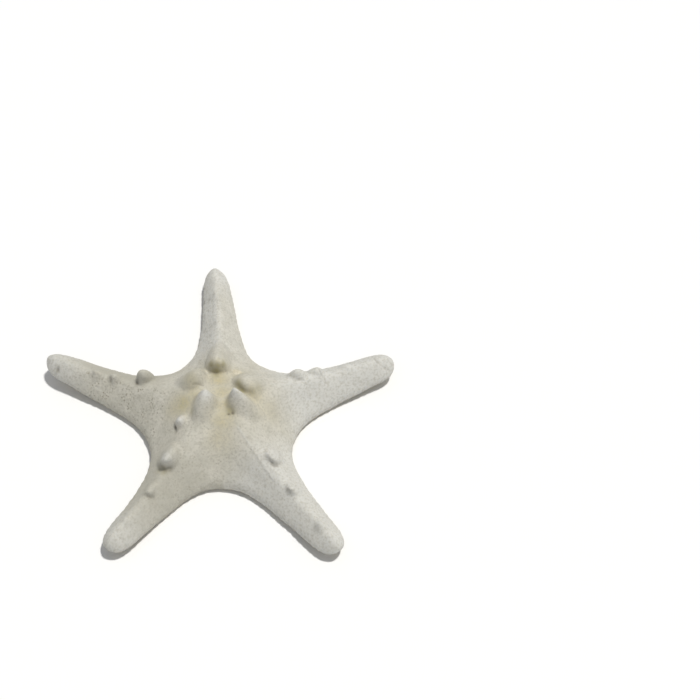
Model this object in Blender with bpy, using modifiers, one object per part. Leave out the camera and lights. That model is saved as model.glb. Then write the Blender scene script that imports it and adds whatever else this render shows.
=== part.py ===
# A dried, bleached knobby starfish, life size, lying on its underside.
# Seen from above, +X is to the right and +Y away from whoever looks at it from the front.
# Lengths here are in millimetres, headings in degrees counter-clockwise from +X.
# The origin is on the floor, below the middle of the whole outline.

import math
import random

import bmesh
import bpy
from mathutils import Matrix, Vector
from mathutils.bvhtree import BVHTree

MM = 0.001
GAP = 0.3  # between pieces that touch

# Where the middle of the body lies from the origin
BODY_X, BODY_Y = 0.62, -6.9

# The five arms, counter-clockwise. Each gives its heading, how far it reaches from the middle
# of the body, how far its tip is swept to its left, how high its tip curls off the floor,
# the half-width of its straight part at the root and at the tip, and where its own node starts.
ARMS = {
    "right": dict(heading=20.9, reach=72.6, sweep=-0.1, lift=3.5, root=10.3, end=5.7, start=25.0),
    "back": dict(heading=92.0, reach=71.8, sweep=2.8, lift=2.5, root=9.0, end=4.9, start=27.5),
    "left": dict(heading=161.8, reach=73.7, sweep=-2.5, lift=5.6, root=10.1, end=4.9, start=25.5),
    "front_left": dict(heading=236.3, reach=68.3, sweep=-1.2, lift=2.8, root=8.6, end=5.4, start=25.0),
    "front_right": dict(heading=309.1, reach=73.6, sweep=0.5, lift=2.8, root=9.3, end=5.3, start=26.6),
}
# The notches between the arms, as heading and distance from the middle of the body. Each
# comes after the arm of the same place above.
NOTCHES = {
    "back_right": (66.2, 29.7),
    "back_left": (124.7, 28.7),
    "side_left": (203.7, 28.9),
    "front": (275.6, 28.6),
    "side_right": (340.1, 30.0),
}

# Heights of the body above its underside
CENTRE_HEIGHT = 24.0
TIP_HEIGHT = 7.6
RIDGE_RUN, RIDGE_POWER = 38.0, 1.6  # how far out, and how sharply, the ridge of an arm comes down
NOTCH_MARGIN, TIP_MARGIN = 6.4, 4.6  # height of the body's side wall
SHOULDER_POWER = 2.0  # how the ground between two arms falls to their notch
ROOF_POWER = 1.45  # 1 is a sharp roof across an arm, 2 a barrel
SADDLE_END = 0.4  # share of an arm by which the saddle between two arms has gone
LIFT_START = 34.0  # an arm lies flat on the floor up to here
REST_FLAT = 0.3  # what comes this near to the floor lies flat on it

# Plan of an arm
SWEEP_START = 27.0  # an arm is straight up to here
FLARE = 6.5  # how fast the width falls behind a notch
TIP_ROUND = 6.5  # length of the rounded tip
CAP_LENGTH = 5.0  # of the plate that closes the tip
UPPER_INSET, WALL_BULGE, UNDER_INSET = 1.1, 0.35, 1.0

# Groove under each arm, and the mouth that the five grooves meet in
GROOVE_HALF, GROOVE_DEPTH = 1.7, 3.2
MOUTH_DEPTH, MOUTH_RADIUS = 5.0, 3.6

# Rows of the body's cage: shares of the way to a notch, then of the way from it to the round tip
INNER_ROWS = [0.13, 0.32, 0.54, 0.78]
OUTER_ROWS = [0.0, 0.1, 0.22, 0.37, 0.53, 0.7, 0.86, 1.0]
TIP_TURNS = [32.0, 58.0, 80.0]  # degrees round the end of the arm
TOP_COLUMNS = [0.36, 0.7, 1.0]  # shares of the half-width, on either side of the ridge

# Large knobs: the ones on the disc by where their tips stand from the middle of the body
CROWN = {
    "back": dict(x=-0.4, y=12.1, top=28.5, radius=3.7, lean=(0.0, -0.12), blunt=0.3),
    "left": dict(x=-9.3, y=8.2, top=27.0, radius=4.3, lean=(-0.2, 0.1), blunt=1.0),
    "right": dict(x=10.8, y=6.2, top=26.5, radius=3.9, lean=(0.1, 0.1), blunt=0.5),
    "front_left": dict(x=-3.4, y=-2.4, top=31.0, radius=4.2, lean=(-0.1, 0.0), blunt=0.6),
    "front_right": dict(x=7.3, y=-1.4, top=31.5, radius=4.1, lean=(-0.1, 0.1), blunt=0.1),
    "front_left_outer": dict(x=-12.8, y=-8.8, top=22.5, radius=2.5, lean=(-0.15, 0.1), blunt=0.2),
}
# Knobs along the ridge of each arm: distance from the middle of the body, sideways place
# (left is positive), base radius, height above the ridge, bluntness
RIDGE_KNOBS = {
    "right": [(33.0, 2.6, 2.9, 3.0, 0.9), (43.0, 0.8, 2.3, 2.2, 0.9), (53.0, 2.2, 1.8, 1.5, 1.0)],
    "back": [(41.0, 0.4, 2.4, 1.8, 1.0), (55.0, 0.4, 2.1, 1.5, 1.0)],
    "left": [(31.5, -3.2, 3.0, 5.4, 0.6), (43.8, 0.2, 2.4, 3.0, 0.8), (52.3, 0.6, 2.1, 2.3, 0.8)],
    "front_left": [(29.0, -1.7, 2.6, 5.2, 0.1), (40.5, -1.1, 2.4, 3.0, 0.7), (56.0, 0.6, 1.8, 1.3, 1.0)],
    "front_right": [(31.6, 2.4, 2.7, 4.2, 0.5), (43.6, 1.6, 2.4, 3.0, 0.7), (61.5, 0.8, 1.8, 1.5, 1.0)],
}
CROWN_SIDES, RIDGE_SIDES, SPINE_SIDES = 11, 9, 4

# Spines along both lips of each groove
SPINE_SPACING, SPINE_LENGTH = 3.5, 2.3
SPINE_ROOT_RADIUS, SPINE_TIP_RADIUS = 0.5, 0.3
SPINE_INSET, SPINE_HEIGHT = 1.0, 1.15  # of its root, behind the lip and above the underside
SPINE_FIRST, SPINE_LAST = 9.0, 3.0  # from the middle of the body, and short of the tip's node
SPINE_MARGIN = 1.6  # kept clear on both sides of the cut at an arm's root
SPINE_SEED = 7

# Jaws round the mouth, one before each notch
JAW_INNER, JAW_LENGTH, JAW_HEIGHT, JAW_BOTTOM = 2.4, 4.6, 2.4, 0.3
JAW_INNER_WIDTH, JAW_OUTER_WIDTH = 1.0, 3.2
TOOTH_LENGTH, TOOTH_RADIUS, TOOTH_FAN = 1.4, 0.36, 14

# Sieve plate of the water vessels, between the back and the right arm
SIEVE_HEADING, SIEVE_DISTANCE, SIEVE_RADIUS, SIEVE_THICKNESS = 62.0, 15.0, 2.0, 1.3

BLEACHED = (0.70, 0.68, 0.60)
BLEACHED_TIP = (0.78, 0.77, 0.72)
SHADED_CREAM = (0.60, 0.55, 0.43)


def polar(heading, length):
    turn = math.radians(heading)
    return Vector((length * math.cos(turn), length * math.sin(turn)))


def smooth_step(x):
    x = min(max(x, 0.0), 1.0)
    return x * x * (3 - 2 * x)


# The body's shape


def spine_point(arm, s):
    # The arm's middle line, s along its heading
    bent = max(0.0, s - SWEEP_START) / (arm["reach"] - SWEEP_START)
    return polar(arm["heading"], s) + polar(arm["heading"] + 90, arm["sweep"] * bent**1.5)


def ridge_height(s):
    return TIP_HEIGHT + (CENTRE_HEIGHT - TIP_HEIGHT) * math.exp(-((s / RIDGE_RUN) ** RIDGE_POWER))


def roof_drop(v, saddle):
    # How far the top has come down from the ridge at a share v of the half-width. A full
    # saddle meets the neighbouring arm level, and none runs on down to the side wall.
    saddle = max(0.0, saddle)
    return saddle * math.sin(math.pi / 2 * v) ** 2 + (1 - saddle) * v**ROOF_POWER


def shoulder_height(share):
    # Along the line from the middle of the body to a notch
    return NOTCH_MARGIN + (CENTRE_HEIGHT - NOTCH_MARGIN) * (1 - share**SHOULDER_POWER)


def floor_lift(arm, s):
    return arm["lift"] * smooth_step((s - LIFT_START) / (arm["reach"] - LIFT_START)) ** 1.3


def half_width(arm, s, notch_s, notch_w):
    straight = (s - notch_s) / (arm["reach"] - notch_s)
    taper = arm["root"] + (arm["end"] - arm["root"]) * straight
    return taper + (notch_w - arm["root"]) * math.exp(-(s - notch_s) / FLARE)


def inner_row(arm, notches, share):
    # From the right-hand notch line over the arm's middle line to the left-hand one, as
    # lists of points on the top and on the underside
    middle_s = share * sum(n.dot(polar(arm["heading"], 1)) for n in notches) / 2
    middle = spine_point(arm, middle_s)
    edge_z, ridge_z = shoulder_height(share), ridge_height(middle_s)
    top, under = [], []
    for side, notch in ((-1, notches[0]), (1, notches[1])):
        upper_edge = share * (notch - notch.normalized() * UPPER_INSET)
        lower_edge = share * (notch - notch.normalized() * UNDER_INSET)
        top_half, under_half = [], []
        for v in TOP_COLUMNS:
            point = middle.lerp(upper_edge, v)
            z = edge_z + (ridge_z - edge_z) * (1 - roof_drop(v, 1.0))
            top_half.append(Vector((*point, z)))
        half = (lower_edge - middle).length
        lip = min(GROOVE_HALF, 0.45 * half) / half
        mouth = max(0.0, 1 - (share * notch.length / (2 * MOUTH_RADIUS)) ** 2)
        for v in (lip, 1.0):
            point = middle.lerp(lower_edge, v)
            under_half.append(Vector((*point, MOUTH_DEPTH * mouth)))
        top.append(top_half if side > 0 else top_half[::-1])
        under.append(under_half if side > 0 else under_half[::-1])
    groove_z = max(GROOVE_DEPTH, MOUTH_DEPTH * (1 - share))
    return (
        top[0] + [Vector((*middle, ridge_z))] + top[1],
        under[0] + [Vector((*middle, groove_z))] + under[1],
    )


def outer_row(arm, notches, share, turn):
    # A ring across the arm: top from right to left, left wall, underside back, right wall
    axis, across = polar(arm["heading"], 1), polar(arm["heading"] + 90, 1)
    round_start = arm["reach"] - TIP_ROUND
    into_tip = TIP_ROUND * math.sin(math.radians(turn))
    narrow = math.cos(math.radians(turn))

    def station(start):
        return start + share * (round_start - start) + into_tip

    middle_s = station(sum(n.dot(axis) for n in notches) / 2)
    lift = floor_lift(arm, middle_s)
    margin = NOTCH_MARGIN + (TIP_MARGIN - NOTCH_MARGIN) * share
    ridge = ridge_height(middle_s)
    # The tip closes towards a level a little under the middle of its height
    close_z = 0.42 * ridge
    margin, ridge = (close_z + (z - close_z) * narrow for z in (margin, ridge))
    under_z = close_z * (1 - narrow)
    middle = spine_point(arm, middle_s)
    halves = []
    for side, notch in ((-1, notches[0]), (1, notches[1])):
        notch_s, notch_w = notch.dot(axis), abs(notch.dot(across))
        s = station(notch_s)
        width = half_width(arm, s, notch_s, notch_w) * narrow
        sweep = spine_point(arm, s) - axis * s
        outward = across * side if share > 0 else notch.normalized()
        edge = axis * s + across * side * width + sweep
        upper = edge - outward * UPPER_INSET * narrow
        lower = edge - outward * UNDER_INSET * narrow
        top = []
        for v in TOP_COLUMNS:
            z = lift + margin + (ridge - margin) * (1 - roof_drop(v, 1 - share / SADDLE_END))
            top.append(Vector((*middle.lerp(upper, v), z)))
        wall = Vector((*(edge + outward * WALL_BULGE), lift + under_z + 0.45 * (margin - under_z)))
        half = max((lower - middle).length, 0.01)
        lip = min(GROOVE_HALF * (0.75 + 0.25 * narrow), 0.45 * half) / half
        under = [Vector((*middle.lerp(lower, v), lift + under_z)) for v in (lip, 1.0)]
        halves.append((top, wall, under))
    groove_z = lift + under_z + GROOVE_DEPTH * (1 - 0.5 * share) * narrow
    (top_r, wall_r, under_r), (top_l, wall_l, under_l) = halves
    top = top_r[::-1] + [Vector((*middle, lift + ridge))] + top_l
    under = under_r[::-1] + [Vector((*middle, groove_z))] + under_l
    return top, under, wall_r, wall_l


def body_cage():
    # The whole animal's body as one closed mesh of quads
    bm = bmesh.new()

    def vertex(point):
        return bm.verts.new((point.x * MM, point.y * MM, point.z * MM))

    def face(*corners):
        bm.faces.new(corners)

    directions = [polar(*notch) for notch in NOTCHES.values()]
    for place, arm in enumerate(ARMS.values()):
        notches = (directions[place - 1], directions[place])
        top_pole = vertex(Vector((0, 0, CENTRE_HEIGHT)))
        under_pole = vertex(Vector((0, 0, MOUTH_DEPTH)))
        tops, unders, walls = [], [], []
        for share in INNER_ROWS:
            top, under = inner_row(arm, notches, share)
            tops.append([vertex(p) for p in top])
            unders.append([vertex(p) for p in under])
            walls.append(None)
        rings = [(share, 0.0) for share in OUTER_ROWS] + [(1.0, turn) for turn in TIP_TURNS]
        for share, turn in rings:
            top, under, wall_r, wall_l = outer_row(arm, notches, share, turn)
            tops.append([vertex(p) for p in top])
            unders.append([vertex(p) for p in under])
            walls.append((vertex(wall_r), vertex(wall_l)))
        for corner, following in zip(tops[0], tops[0][1:]):
            face(top_pole, corner, following)
        for corner, following in zip(unders[0], unders[0][1:]):
            face(under_pole, following, corner)
        for a in range(len(tops) - 1):
            b = a + 1
            for i in range(len(tops[a]) - 1):
                face(tops[a][i], tops[b][i], tops[b][i + 1], tops[a][i + 1])
            for i in range(len(unders[a]) - 1):
                face(unders[a][i], unders[a][i + 1], unders[b][i + 1], unders[b][i])
            if walls[a]:
                (right_a, left_a), (right_b, left_b) = walls[a], walls[b]
                face(tops[a][-1], tops[b][-1], left_b, left_a)
                face(left_a, left_b, unders[b][-1], unders[a][-1])
                face(tops[b][0], tops[a][0], right_a, right_b)
                face(right_b, right_a, unders[a][0], unders[b][0])
        right_end, left_end = walls[-1]
        face(*tops[-1], left_end, *unders[-1][::-1], right_end)
    bmesh.ops.remove_doubles(bm, verts=bm.verts, dist=0.001 * MM)
    bmesh.ops.recalc_face_normals(bm, faces=bm.faces)
    mesh = bpy.data.meshes.new("body_cage")
    bm.to_mesh(mesh)
    bm.free()
    return mesh


# Helpers that make, join and part meshes


def new_object(name, mesh, collection):
    obj = bpy.data.objects.new(name, mesh)
    collection.objects.link(obj)
    return obj


def evaluated_mesh(obj):
    bpy.context.view_layer.update()
    graph = bpy.context.evaluated_depsgraph_get()
    return bpy.data.meshes.new_from_object(obj.evaluated_get(graph))


def discard(obj):
    mesh = obj.data
    bpy.data.objects.remove(obj)
    if mesh.users == 0:
        bpy.data.meshes.remove(mesh)


def with_modifier_applied(obj):
    mesh = evaluated_mesh(obj)
    obj.modifiers.clear()
    old, obj.data = obj.data, mesh
    if old.users == 0:
        bpy.data.meshes.remove(old)
    return obj


def keep_largest(mesh):
    # Drops loose scraps and sealed hollows, which are closed surfaces of their own
    bm = bmesh.new()
    bm.from_mesh(mesh)
    bmesh.ops.triangulate(bm, faces=bm.faces)
    left, pieces = set(bm.faces), []
    while left:
        stack, piece = [left.pop()], []
        while stack:
            f = stack.pop()
            piece.append(f)
            near = {g for e in f.edges for g in e.link_faces if g in left}
            left -= near
            stack.extend(near)
        pieces.append(piece)
    pieces.sort(key=len)
    for piece in pieces[:-1]:
        bmesh.ops.delete(bm, geom=piece, context="FACES")
    bm.to_mesh(mesh)
    bm.free()


def combine(obj, pieces, operation):
    # One Boolean with a collection of closed meshes, applied
    others = bpy.data.collections.new(f"{obj.name}_{operation.lower()}")
    bpy.context.scene.collection.children.link(others)
    for piece in pieces:
        others.objects.link(piece)
        piece.hide_render = True
        piece.display_type = "WIRE"
    boolean = obj.modifiers.new("Boolean", "BOOLEAN")
    boolean.operation = operation
    boolean.operand_type = "COLLECTION"
    boolean.collection = others
    boolean.solver = "EXACT"
    with_modifier_applied(obj)
    for piece in pieces:
        discard(piece)
    bpy.data.collections.remove(others)
    keep_largest(obj.data)


def cut_away(mesh, point, normal):
    # Removes what lies on the side that the normal points to and closes the cut
    bm = bmesh.new()
    bm.from_mesh(mesh)
    everything = list(bm.verts) + list(bm.edges) + list(bm.faces)
    cut = bmesh.ops.bisect_plane(
        bm, geom=everything, plane_co=point, plane_no=normal, dist=1e-7, clear_outer=True
    )
    rim = [e for e in cut["geom_cut"] if isinstance(e, bmesh.types.BMEdge)]
    bmesh.ops.triangle_fill(bm, edges=rim, use_beauty=True, use_dissolve=False)
    bmesh.ops.recalc_face_normals(bm, faces=bm.faces)
    result = bpy.data.meshes.new(mesh.name)
    bm.to_mesh(result)
    bm.free()
    return result


def turned(name, profile, sides):
    # A profile of (radius, height) pairs, from the foot to the tip, turned about Z
    mesh = bpy.data.meshes.new(name)
    points = [(r, 0, z) for r, z in profile]
    mesh.from_pydata(points, [(i, i + 1) for i in range(len(points) - 1)], [])
    obj = new_object(name, mesh, bpy.context.scene.collection)
    screw = obj.modifiers.new("Screw", "SCREW")
    screw.steps = screw.render_steps = sides
    screw.use_merge_vertices = True
    screw.merge_threshold = 0.0001
    result = evaluated_mesh(obj)
    discard(obj)
    bm = bmesh.new()
    bm.from_mesh(result)
    bmesh.ops.remove_doubles(bm, verts=bm.verts, dist=0.0001)
    bmesh.ops.recalc_face_normals(bm, faces=bm.faces)
    bm.to_mesh(result)
    bm.free()
    return result


def standing(mesh, name, foot, direction, radius, height):
    # A unit turned shape, scaled and stood with its foot on a point
    obj = bpy.data.objects.new(name, mesh.copy())
    turn = Vector((0, 0, 1)).rotation_difference(direction.normalized()).to_matrix().to_4x4()
    size = Matrix.Diagonal((radius * MM, radius * MM, height * MM, 1))
    obj.data.transform(Matrix.Translation(foot * MM) @ turn @ size)
    return obj


# What grows on the body


def knob_profile(blunt):
    # Foot flared into the skin; a sharp knob narrows to a small bead, a blunt one stays full
    waist = 0.50 + 0.28 * blunt
    crown = 0.30 + 0.34 * blunt
    return [
        (0, -1.0), (1.2, -1.0), (1.22, -0.25), (0.95, 0.1), (0.5 * (0.95 + waist), 0.35),
        (waist, 0.62), (crown, 0.86), (0.5 * crown, 0.97), (0, 1.0),
    ]


def surface_height(tree, x, y):
    hit = tree.ray_cast(Vector((x * MM, y * MM, 1.0)), Vector((0, 0, -1)))
    return hit[0].z / MM


def crown_knob(tree, name, knob):
    lean = Vector((*knob["lean"], 1.0)).normalized()
    tip = Vector((knob["x"], knob["y"], knob["top"]))
    below = surface_height(tree, tip.x, tip.y)
    foot = tip - lean * (tip.z - below) / lean.z
    foot.z = surface_height(tree, foot.x, foot.y)
    mesh = turned("knob", knob_profile(knob["blunt"]), CROWN_SIDES)
    return standing(mesh, f"knob_{name}", foot, tip - foot, knob["radius"], (tip - foot).length)


def ridge_knob(tree, arm, sizes):
    s, aside, radius, height, blunt = sizes
    middle = spine_point(arm, s) + polar(arm["heading"] + 90, aside)
    foot = Vector((*middle, surface_height(tree, *middle)))
    direction = Vector((*polar(arm["heading"], 0.12), 1.0))
    mesh = turned("knob", knob_profile(blunt), RIDGE_SIDES)
    return standing(mesh, "ridge_knob", foot, direction, radius, height)


def spine_profile():
    return [(0, 0), (1, 0), (SPINE_TIP_RADIUS / SPINE_ROOT_RADIUS, 0.85), (0, 1.0)]


def groove_spines(arm, first, last, draw):
    # Both lips of the groove, each spine rooted in the lip and lying across the groove
    mesh = turned("spine", spine_profile(), SPINE_SIDES)
    spines = []
    for side in (-1, 1):
        s = first + (0 if side > 0 else SPINE_SPACING / 2)
        while s < last:
            lift = floor_lift(arm, s)
            slope = floor_lift(arm, s + 1) - lift
            across = polar(arm["heading"] + 90, side * (GROOVE_HALF + SPINE_INSET))
            foot = Vector((*(spine_point(arm, s) + across), lift + SPINE_HEIGHT))
            inward = polar(arm["heading"] - 90, side)
            out = polar(arm["heading"], draw.uniform(0.05, 0.35))
            direction = Vector((*(inward + out), slope * out.length - draw.uniform(0.06, 0.14)))
            length = SPINE_LENGTH * draw.uniform(0.9, 1.1)
            spines.append(standing(mesh, "spine", foot, direction, SPINE_ROOT_RADIUS, length))
            s += SPINE_SPACING
    return spines


def jaw_block(name, heading, grow):
    # A wedge that points to the mouth's middle; grow is how much bigger its recess is
    bm = bmesh.new()
    bmesh.ops.create_cube(bm, size=1.0)
    low = JAW_BOTTOM - (JAW_HEIGHT if grow else 0)  # a recess is open below
    high = JAW_BOTTOM + JAW_HEIGHT + grow
    for v in bm.verts:
        outer = v.co.x > 0
        length = JAW_INNER + (JAW_LENGTH + grow if outer else -grow)
        width = (JAW_OUTER_WIDTH if outer else JAW_INNER_WIDTH) / 2 + grow
        v.co = Vector((length, width if v.co.y > 0 else -width, high if v.co.z > 0 else low))
    if not grow:
        bmesh.ops.bevel(
            bm, geom=list(bm.edges), offset=0.35, offset_type="OFFSET", segments=1, affect="EDGES"
        )
    bmesh.ops.recalc_face_normals(bm, faces=bm.faces)
    bm.transform(Matrix.Scale(MM, 4))
    bm.transform(Matrix.Rotation(math.radians(heading), 4, "Z"))
    mesh = bpy.data.meshes.new(name)
    bm.to_mesh(mesh)
    bm.free()
    return bpy.data.objects.new(name, mesh)


def jaw_teeth(heading):
    # Three small spines on the inner end of a jaw
    mesh = turned("tooth", spine_profile(), SPINE_SIDES)
    teeth = []
    for fan in (-TOOTH_FAN, 0, TOOTH_FAN):
        foot = polar(heading, JAW_INNER + 0.7) + polar(heading + 90, -0.35 * fan / TOOTH_FAN)
        direction = Vector((*polar(heading + 180 + fan, 1), -0.12))
        foot = Vector((*foot, JAW_BOTTOM + 1.1))
        teeth.append(standing(mesh, "tooth", foot, direction, TOOTH_RADIUS, TOOTH_LENGTH))
    return teeth


def sieve_plate(name, tree, grow):
    # A low round button lying in the skin
    place = polar(SIEVE_HEADING, SIEVE_DISTANCE)
    hit, normal, _, _ = tree.ray_cast(Vector((*(place * MM), 1.0)), Vector((0, 0, -1)))
    radius, half = SIEVE_RADIUS + grow, SIEVE_THICKNESS / 2
    top = half * (3.0 if grow else 1.0)
    profile = [
        (0, -half - grow), (radius, -half - grow), (radius, 0.5 * top), (0.72 * radius, top), (0, top * 1.1),
    ]
    mesh = turned(name, profile, 16)
    foot = hit / MM - normal * (half * 0.55)
    return standing(mesh, name, foot, normal, 1.0, 1.0)


def material(name, colour):
    mat = bpy.data.materials.new(name)
    mat.use_nodes = True
    shader = mat.node_tree.nodes["Principled BSDF"]
    shader.inputs["Base Color"].default_value = (*colour, 1)
    shader.inputs["Roughness"].default_value = 0.9
    shader.inputs["Metallic"].default_value = 0.0
    return mat


def finish(obj, origin, colour):
    obj.data.materials.clear()
    obj.data.materials.append(material(f"calcite_{obj.name}", colour))
    obj.data.shade_smooth()
    obj.data.set_sharp_from_angle(angle=math.radians(40))
    obj.parent = origin


def build():
    for obj in list(bpy.data.objects):
        bpy.data.objects.remove(obj)
    scene = bpy.context.scene
    star = bpy.data.collections.new("knobby_starfish")
    scene.collection.children.link(star)
    origin = bpy.data.objects.new("body_middle", None)
    origin.location = (BODY_X * MM, BODY_Y * MM, 0)
    star.objects.link(origin)

    body = new_object("body", body_cage(), star)
    smooth = body.modifiers.new("Subdivision", "SUBSURF")
    smooth.levels = smooth.render_levels = 1
    with_modifier_applied(body)
    for vertex in body.data.vertices:
        if vertex.co.z < REST_FLAT * MM:
            vertex.co.z = 0
    bm = bmesh.new()
    bm.from_mesh(body.data)
    tree = BVHTree.FromBMesh(bm)
    bm.free()

    # Thin cuts part the body into the disc, the arms and the plates at their tips
    disc_mesh = body.data.copy()
    for name, arm in ARMS.items():
        out = Vector((*polar(arm["heading"], 1), 0))
        root = out * arm["start"] * MM
        cap = out * (arm["reach"] - CAP_LENGTH) * MM
        half_gap = out * GAP / 2 * MM
        disc_mesh = cut_away(disc_mesh, root - half_gap, out)
        beyond_root = cut_away(body.data, root + half_gap, -out)
        arm_object = new_object(f"arm_{name}", cut_away(beyond_root, cap - half_gap, out), star)
        new_object(f"tip_{name}", cut_away(beyond_root, cap + half_gap, -out), star)
        draw = random.Random(SPINE_SEED + round(arm["heading"]))
        grown = [ridge_knob(tree, arm, sizes) for sizes in RIDGE_KNOBS[name]]
        last = arm["reach"] - CAP_LENGTH - SPINE_LAST
        grown += groove_spines(arm, arm["start"] + SPINE_MARGIN, last, draw)
        combine(arm_object, grown, "UNION")
    discard(body)

    disc = new_object("disc", disc_mesh, star)
    grown = [crown_knob(tree, name, knob) for name, knob in CROWN.items()]
    for arm in ARMS.values():
        draw = random.Random(SPINE_SEED * 2 + round(arm["heading"]))
        grown += groove_spines(arm, SPINE_FIRST, arm["start"] - SPINE_MARGIN, draw)
    combine(disc, grown, "UNION")

    recesses = []
    for name, (heading, _) in NOTCHES.items():
        jaw = jaw_block(f"jaw_{name}", heading, 0)
        star.objects.link(jaw)
        combine(jaw, jaw_teeth(heading), "UNION")
        recesses.append(jaw_block("jaw_recess", heading, GAP))
    star.objects.link(sieve_plate("madreporite", tree, 0))
    recesses.append(sieve_plate("madreporite_recess", tree, GAP))
    combine(disc, recesses, "DIFFERENCE")

    for obj in list(star.objects):
        if obj.type == "MESH":
            colour = BLEACHED_TIP if obj.name.startswith("tip") else BLEACHED
            finish(obj, origin, SHADED_CREAM if obj.name.startswith("jaw") else colour)


build()
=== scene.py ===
import math
import random

import bmesh
import bpy
import numpy as np
from mathutils import Matrix, Vector, noise
from mathutils.bvhtree import BVHTree


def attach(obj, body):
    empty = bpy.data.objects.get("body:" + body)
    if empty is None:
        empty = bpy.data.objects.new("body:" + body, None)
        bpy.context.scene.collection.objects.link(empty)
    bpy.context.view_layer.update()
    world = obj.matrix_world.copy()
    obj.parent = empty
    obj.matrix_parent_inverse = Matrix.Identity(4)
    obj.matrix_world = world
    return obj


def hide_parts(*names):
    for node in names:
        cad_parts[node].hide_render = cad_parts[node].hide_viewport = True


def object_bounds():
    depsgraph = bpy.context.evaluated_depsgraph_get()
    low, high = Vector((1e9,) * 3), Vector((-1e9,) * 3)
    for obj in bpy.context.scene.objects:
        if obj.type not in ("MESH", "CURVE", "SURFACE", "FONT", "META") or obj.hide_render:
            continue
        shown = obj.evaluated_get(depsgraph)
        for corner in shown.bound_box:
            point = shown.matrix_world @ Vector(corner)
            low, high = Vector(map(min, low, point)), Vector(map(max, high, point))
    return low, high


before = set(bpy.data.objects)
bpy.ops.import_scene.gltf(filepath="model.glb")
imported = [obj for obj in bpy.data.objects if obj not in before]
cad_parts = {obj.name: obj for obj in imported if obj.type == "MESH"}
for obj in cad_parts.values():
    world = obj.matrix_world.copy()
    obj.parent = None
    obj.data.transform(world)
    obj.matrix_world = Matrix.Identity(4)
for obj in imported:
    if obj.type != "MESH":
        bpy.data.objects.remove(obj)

# A dried knobby starfish, bleached white, lying on its underside on a pale floor.
# Shapes are worked out in millimetres from the middle of the body, whose place is in body below.

cadBox = [list(corner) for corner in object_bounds()]
mm = 0.001


# Small helpers


def addNode(tree, kind, inputs=None, **settings):
    # A node with its settings; a value that is a socket is linked, and of a node its first output
    node = tree.nodes.new(kind)
    for key, value in settings.items():
        setattr(node, key, value)
    for key, value in (inputs or {}).items():
        if isinstance(value, bpy.types.Node):
            value = value.outputs[0]
        if isinstance(value, bpy.types.NodeSocket):
            tree.links.new(value, node.inputs[key])
        else:
            node.inputs[key].default_value = value
    return node


def linearColour(hexCode):
    parts = [int(hexCode[i:i + 2], 16) / 255 for i in (1, 3, 5)]
    return tuple(c / 12.92 if c <= 0.04045 else ((c + 0.055) / 1.055) ** 2.4 for c in parts) + (1,)


def newMaterial(name, settings):
    # A material with its node tree and its shader, whose inputs are set
    material = bpy.data.materials.new(name)
    material.use_nodes = True
    shader = material.node_tree.nodes["Principled BSDF"]
    for key, value in settings.items():
        shader.inputs[key].default_value = value
    return material, material.node_tree, shader


def newObject(name, mesh):
    piece = bpy.data.objects.new(name, mesh)
    bpy.context.scene.collection.objects.link(piece)
    return piece


def plainMesh(piece):
    # The mesh as its modifiers leave it
    bpy.context.view_layer.update()
    graph = bpy.context.evaluated_depsgraph_get()
    return bpy.data.meshes.new_from_object(piece.evaluated_get(graph))


def applied(piece):
    mesh = plainMesh(piece)
    piece.modifiers.clear()
    old, piece.data = piece.data, mesh
    bpy.data.meshes.remove(old)
    return piece


def meshFrom(name, points, faces):
    # Points in millimetres from the middle of the body
    mesh = bpy.data.meshes.new(name)
    mesh.from_pydata([tuple((np.array(p) + bodyOffset) * mm) for p in points], [], faces)
    return mesh


def cleaned(mesh):
    # Doubles merged and faces turned outwards
    bm = bmesh.new()
    bm.from_mesh(mesh)
    bmesh.ops.remove_doubles(bm, verts=bm.verts, dist=0.001 * mm)
    bmesh.ops.recalc_face_normals(bm, faces=bm.faces)
    bm.to_mesh(mesh)
    bm.free()
    return mesh


def addLayer(mesh, name, values, kind="FLOAT", domain="POINT"):
    # An attribute with one value or one vector for each point or face
    field = "vector" if kind == "FLOAT_VECTOR" else "value"
    layer = mesh.attributes.new(name, kind, domain)
    layer.data.foreach_set(field, values.astype(np.int32 if kind == "INT" else np.float32).ravel())


def turnedFaces(count, rings):
    # Faces of a closed shape from rings of points, each of this count, with its foot and tip last
    sides = [(i, (i + 1) % count) for i in range(count)]
    foot, last = count * rings, count * (rings - 1)
    faces = [(n + a, n + b, n + b + count, n + a + count) for n in range(0, last, count) for a, b in sides]
    faces += [(foot, b, a) for a, b in sides]
    return faces + [(foot + 1, last + a, last + b) for a, b in sides]


def polar(heading, length):
    turn = math.radians(heading)
    return np.array([length * math.cos(turn), length * math.sin(turn)])


def smoothStep(x, start=0.0, end=1.0):
    # 0 at start and before it, 1 at end and past it; end may be the smaller one
    x = np.clip((x - start) / (end - start), 0.0, 1.0)
    return x * x * (3 - 2 * x)


def risingFrom(least, share):
    # From least, where the share is 0, to 1
    return least + (1 - least) * share


def bell(distance, width):
    return np.exp(-((distance / width) ** 2))


# Camera, floor and light

view = {
    "lookAt": (0.05108, 0.02891, 0.0),  # the floor point in the middle of the picture
    "elevation": 56.5,  # degrees above the floor
    "distance": 0.606,
    "lens": 77.14, "sensor": 36.0,
}
light = {
    "keyHeading": 20.0,  # from the right, a little behind
    "keyElevation": 74.0,
    "keyStrength": 2.6,
    "keyAngle": 5.0,
    "sky": 0.37,
    "keyColour": "#fffdf9",
    "skyColour": "#f4f8ff",
}
floorSize = 6.0


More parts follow.
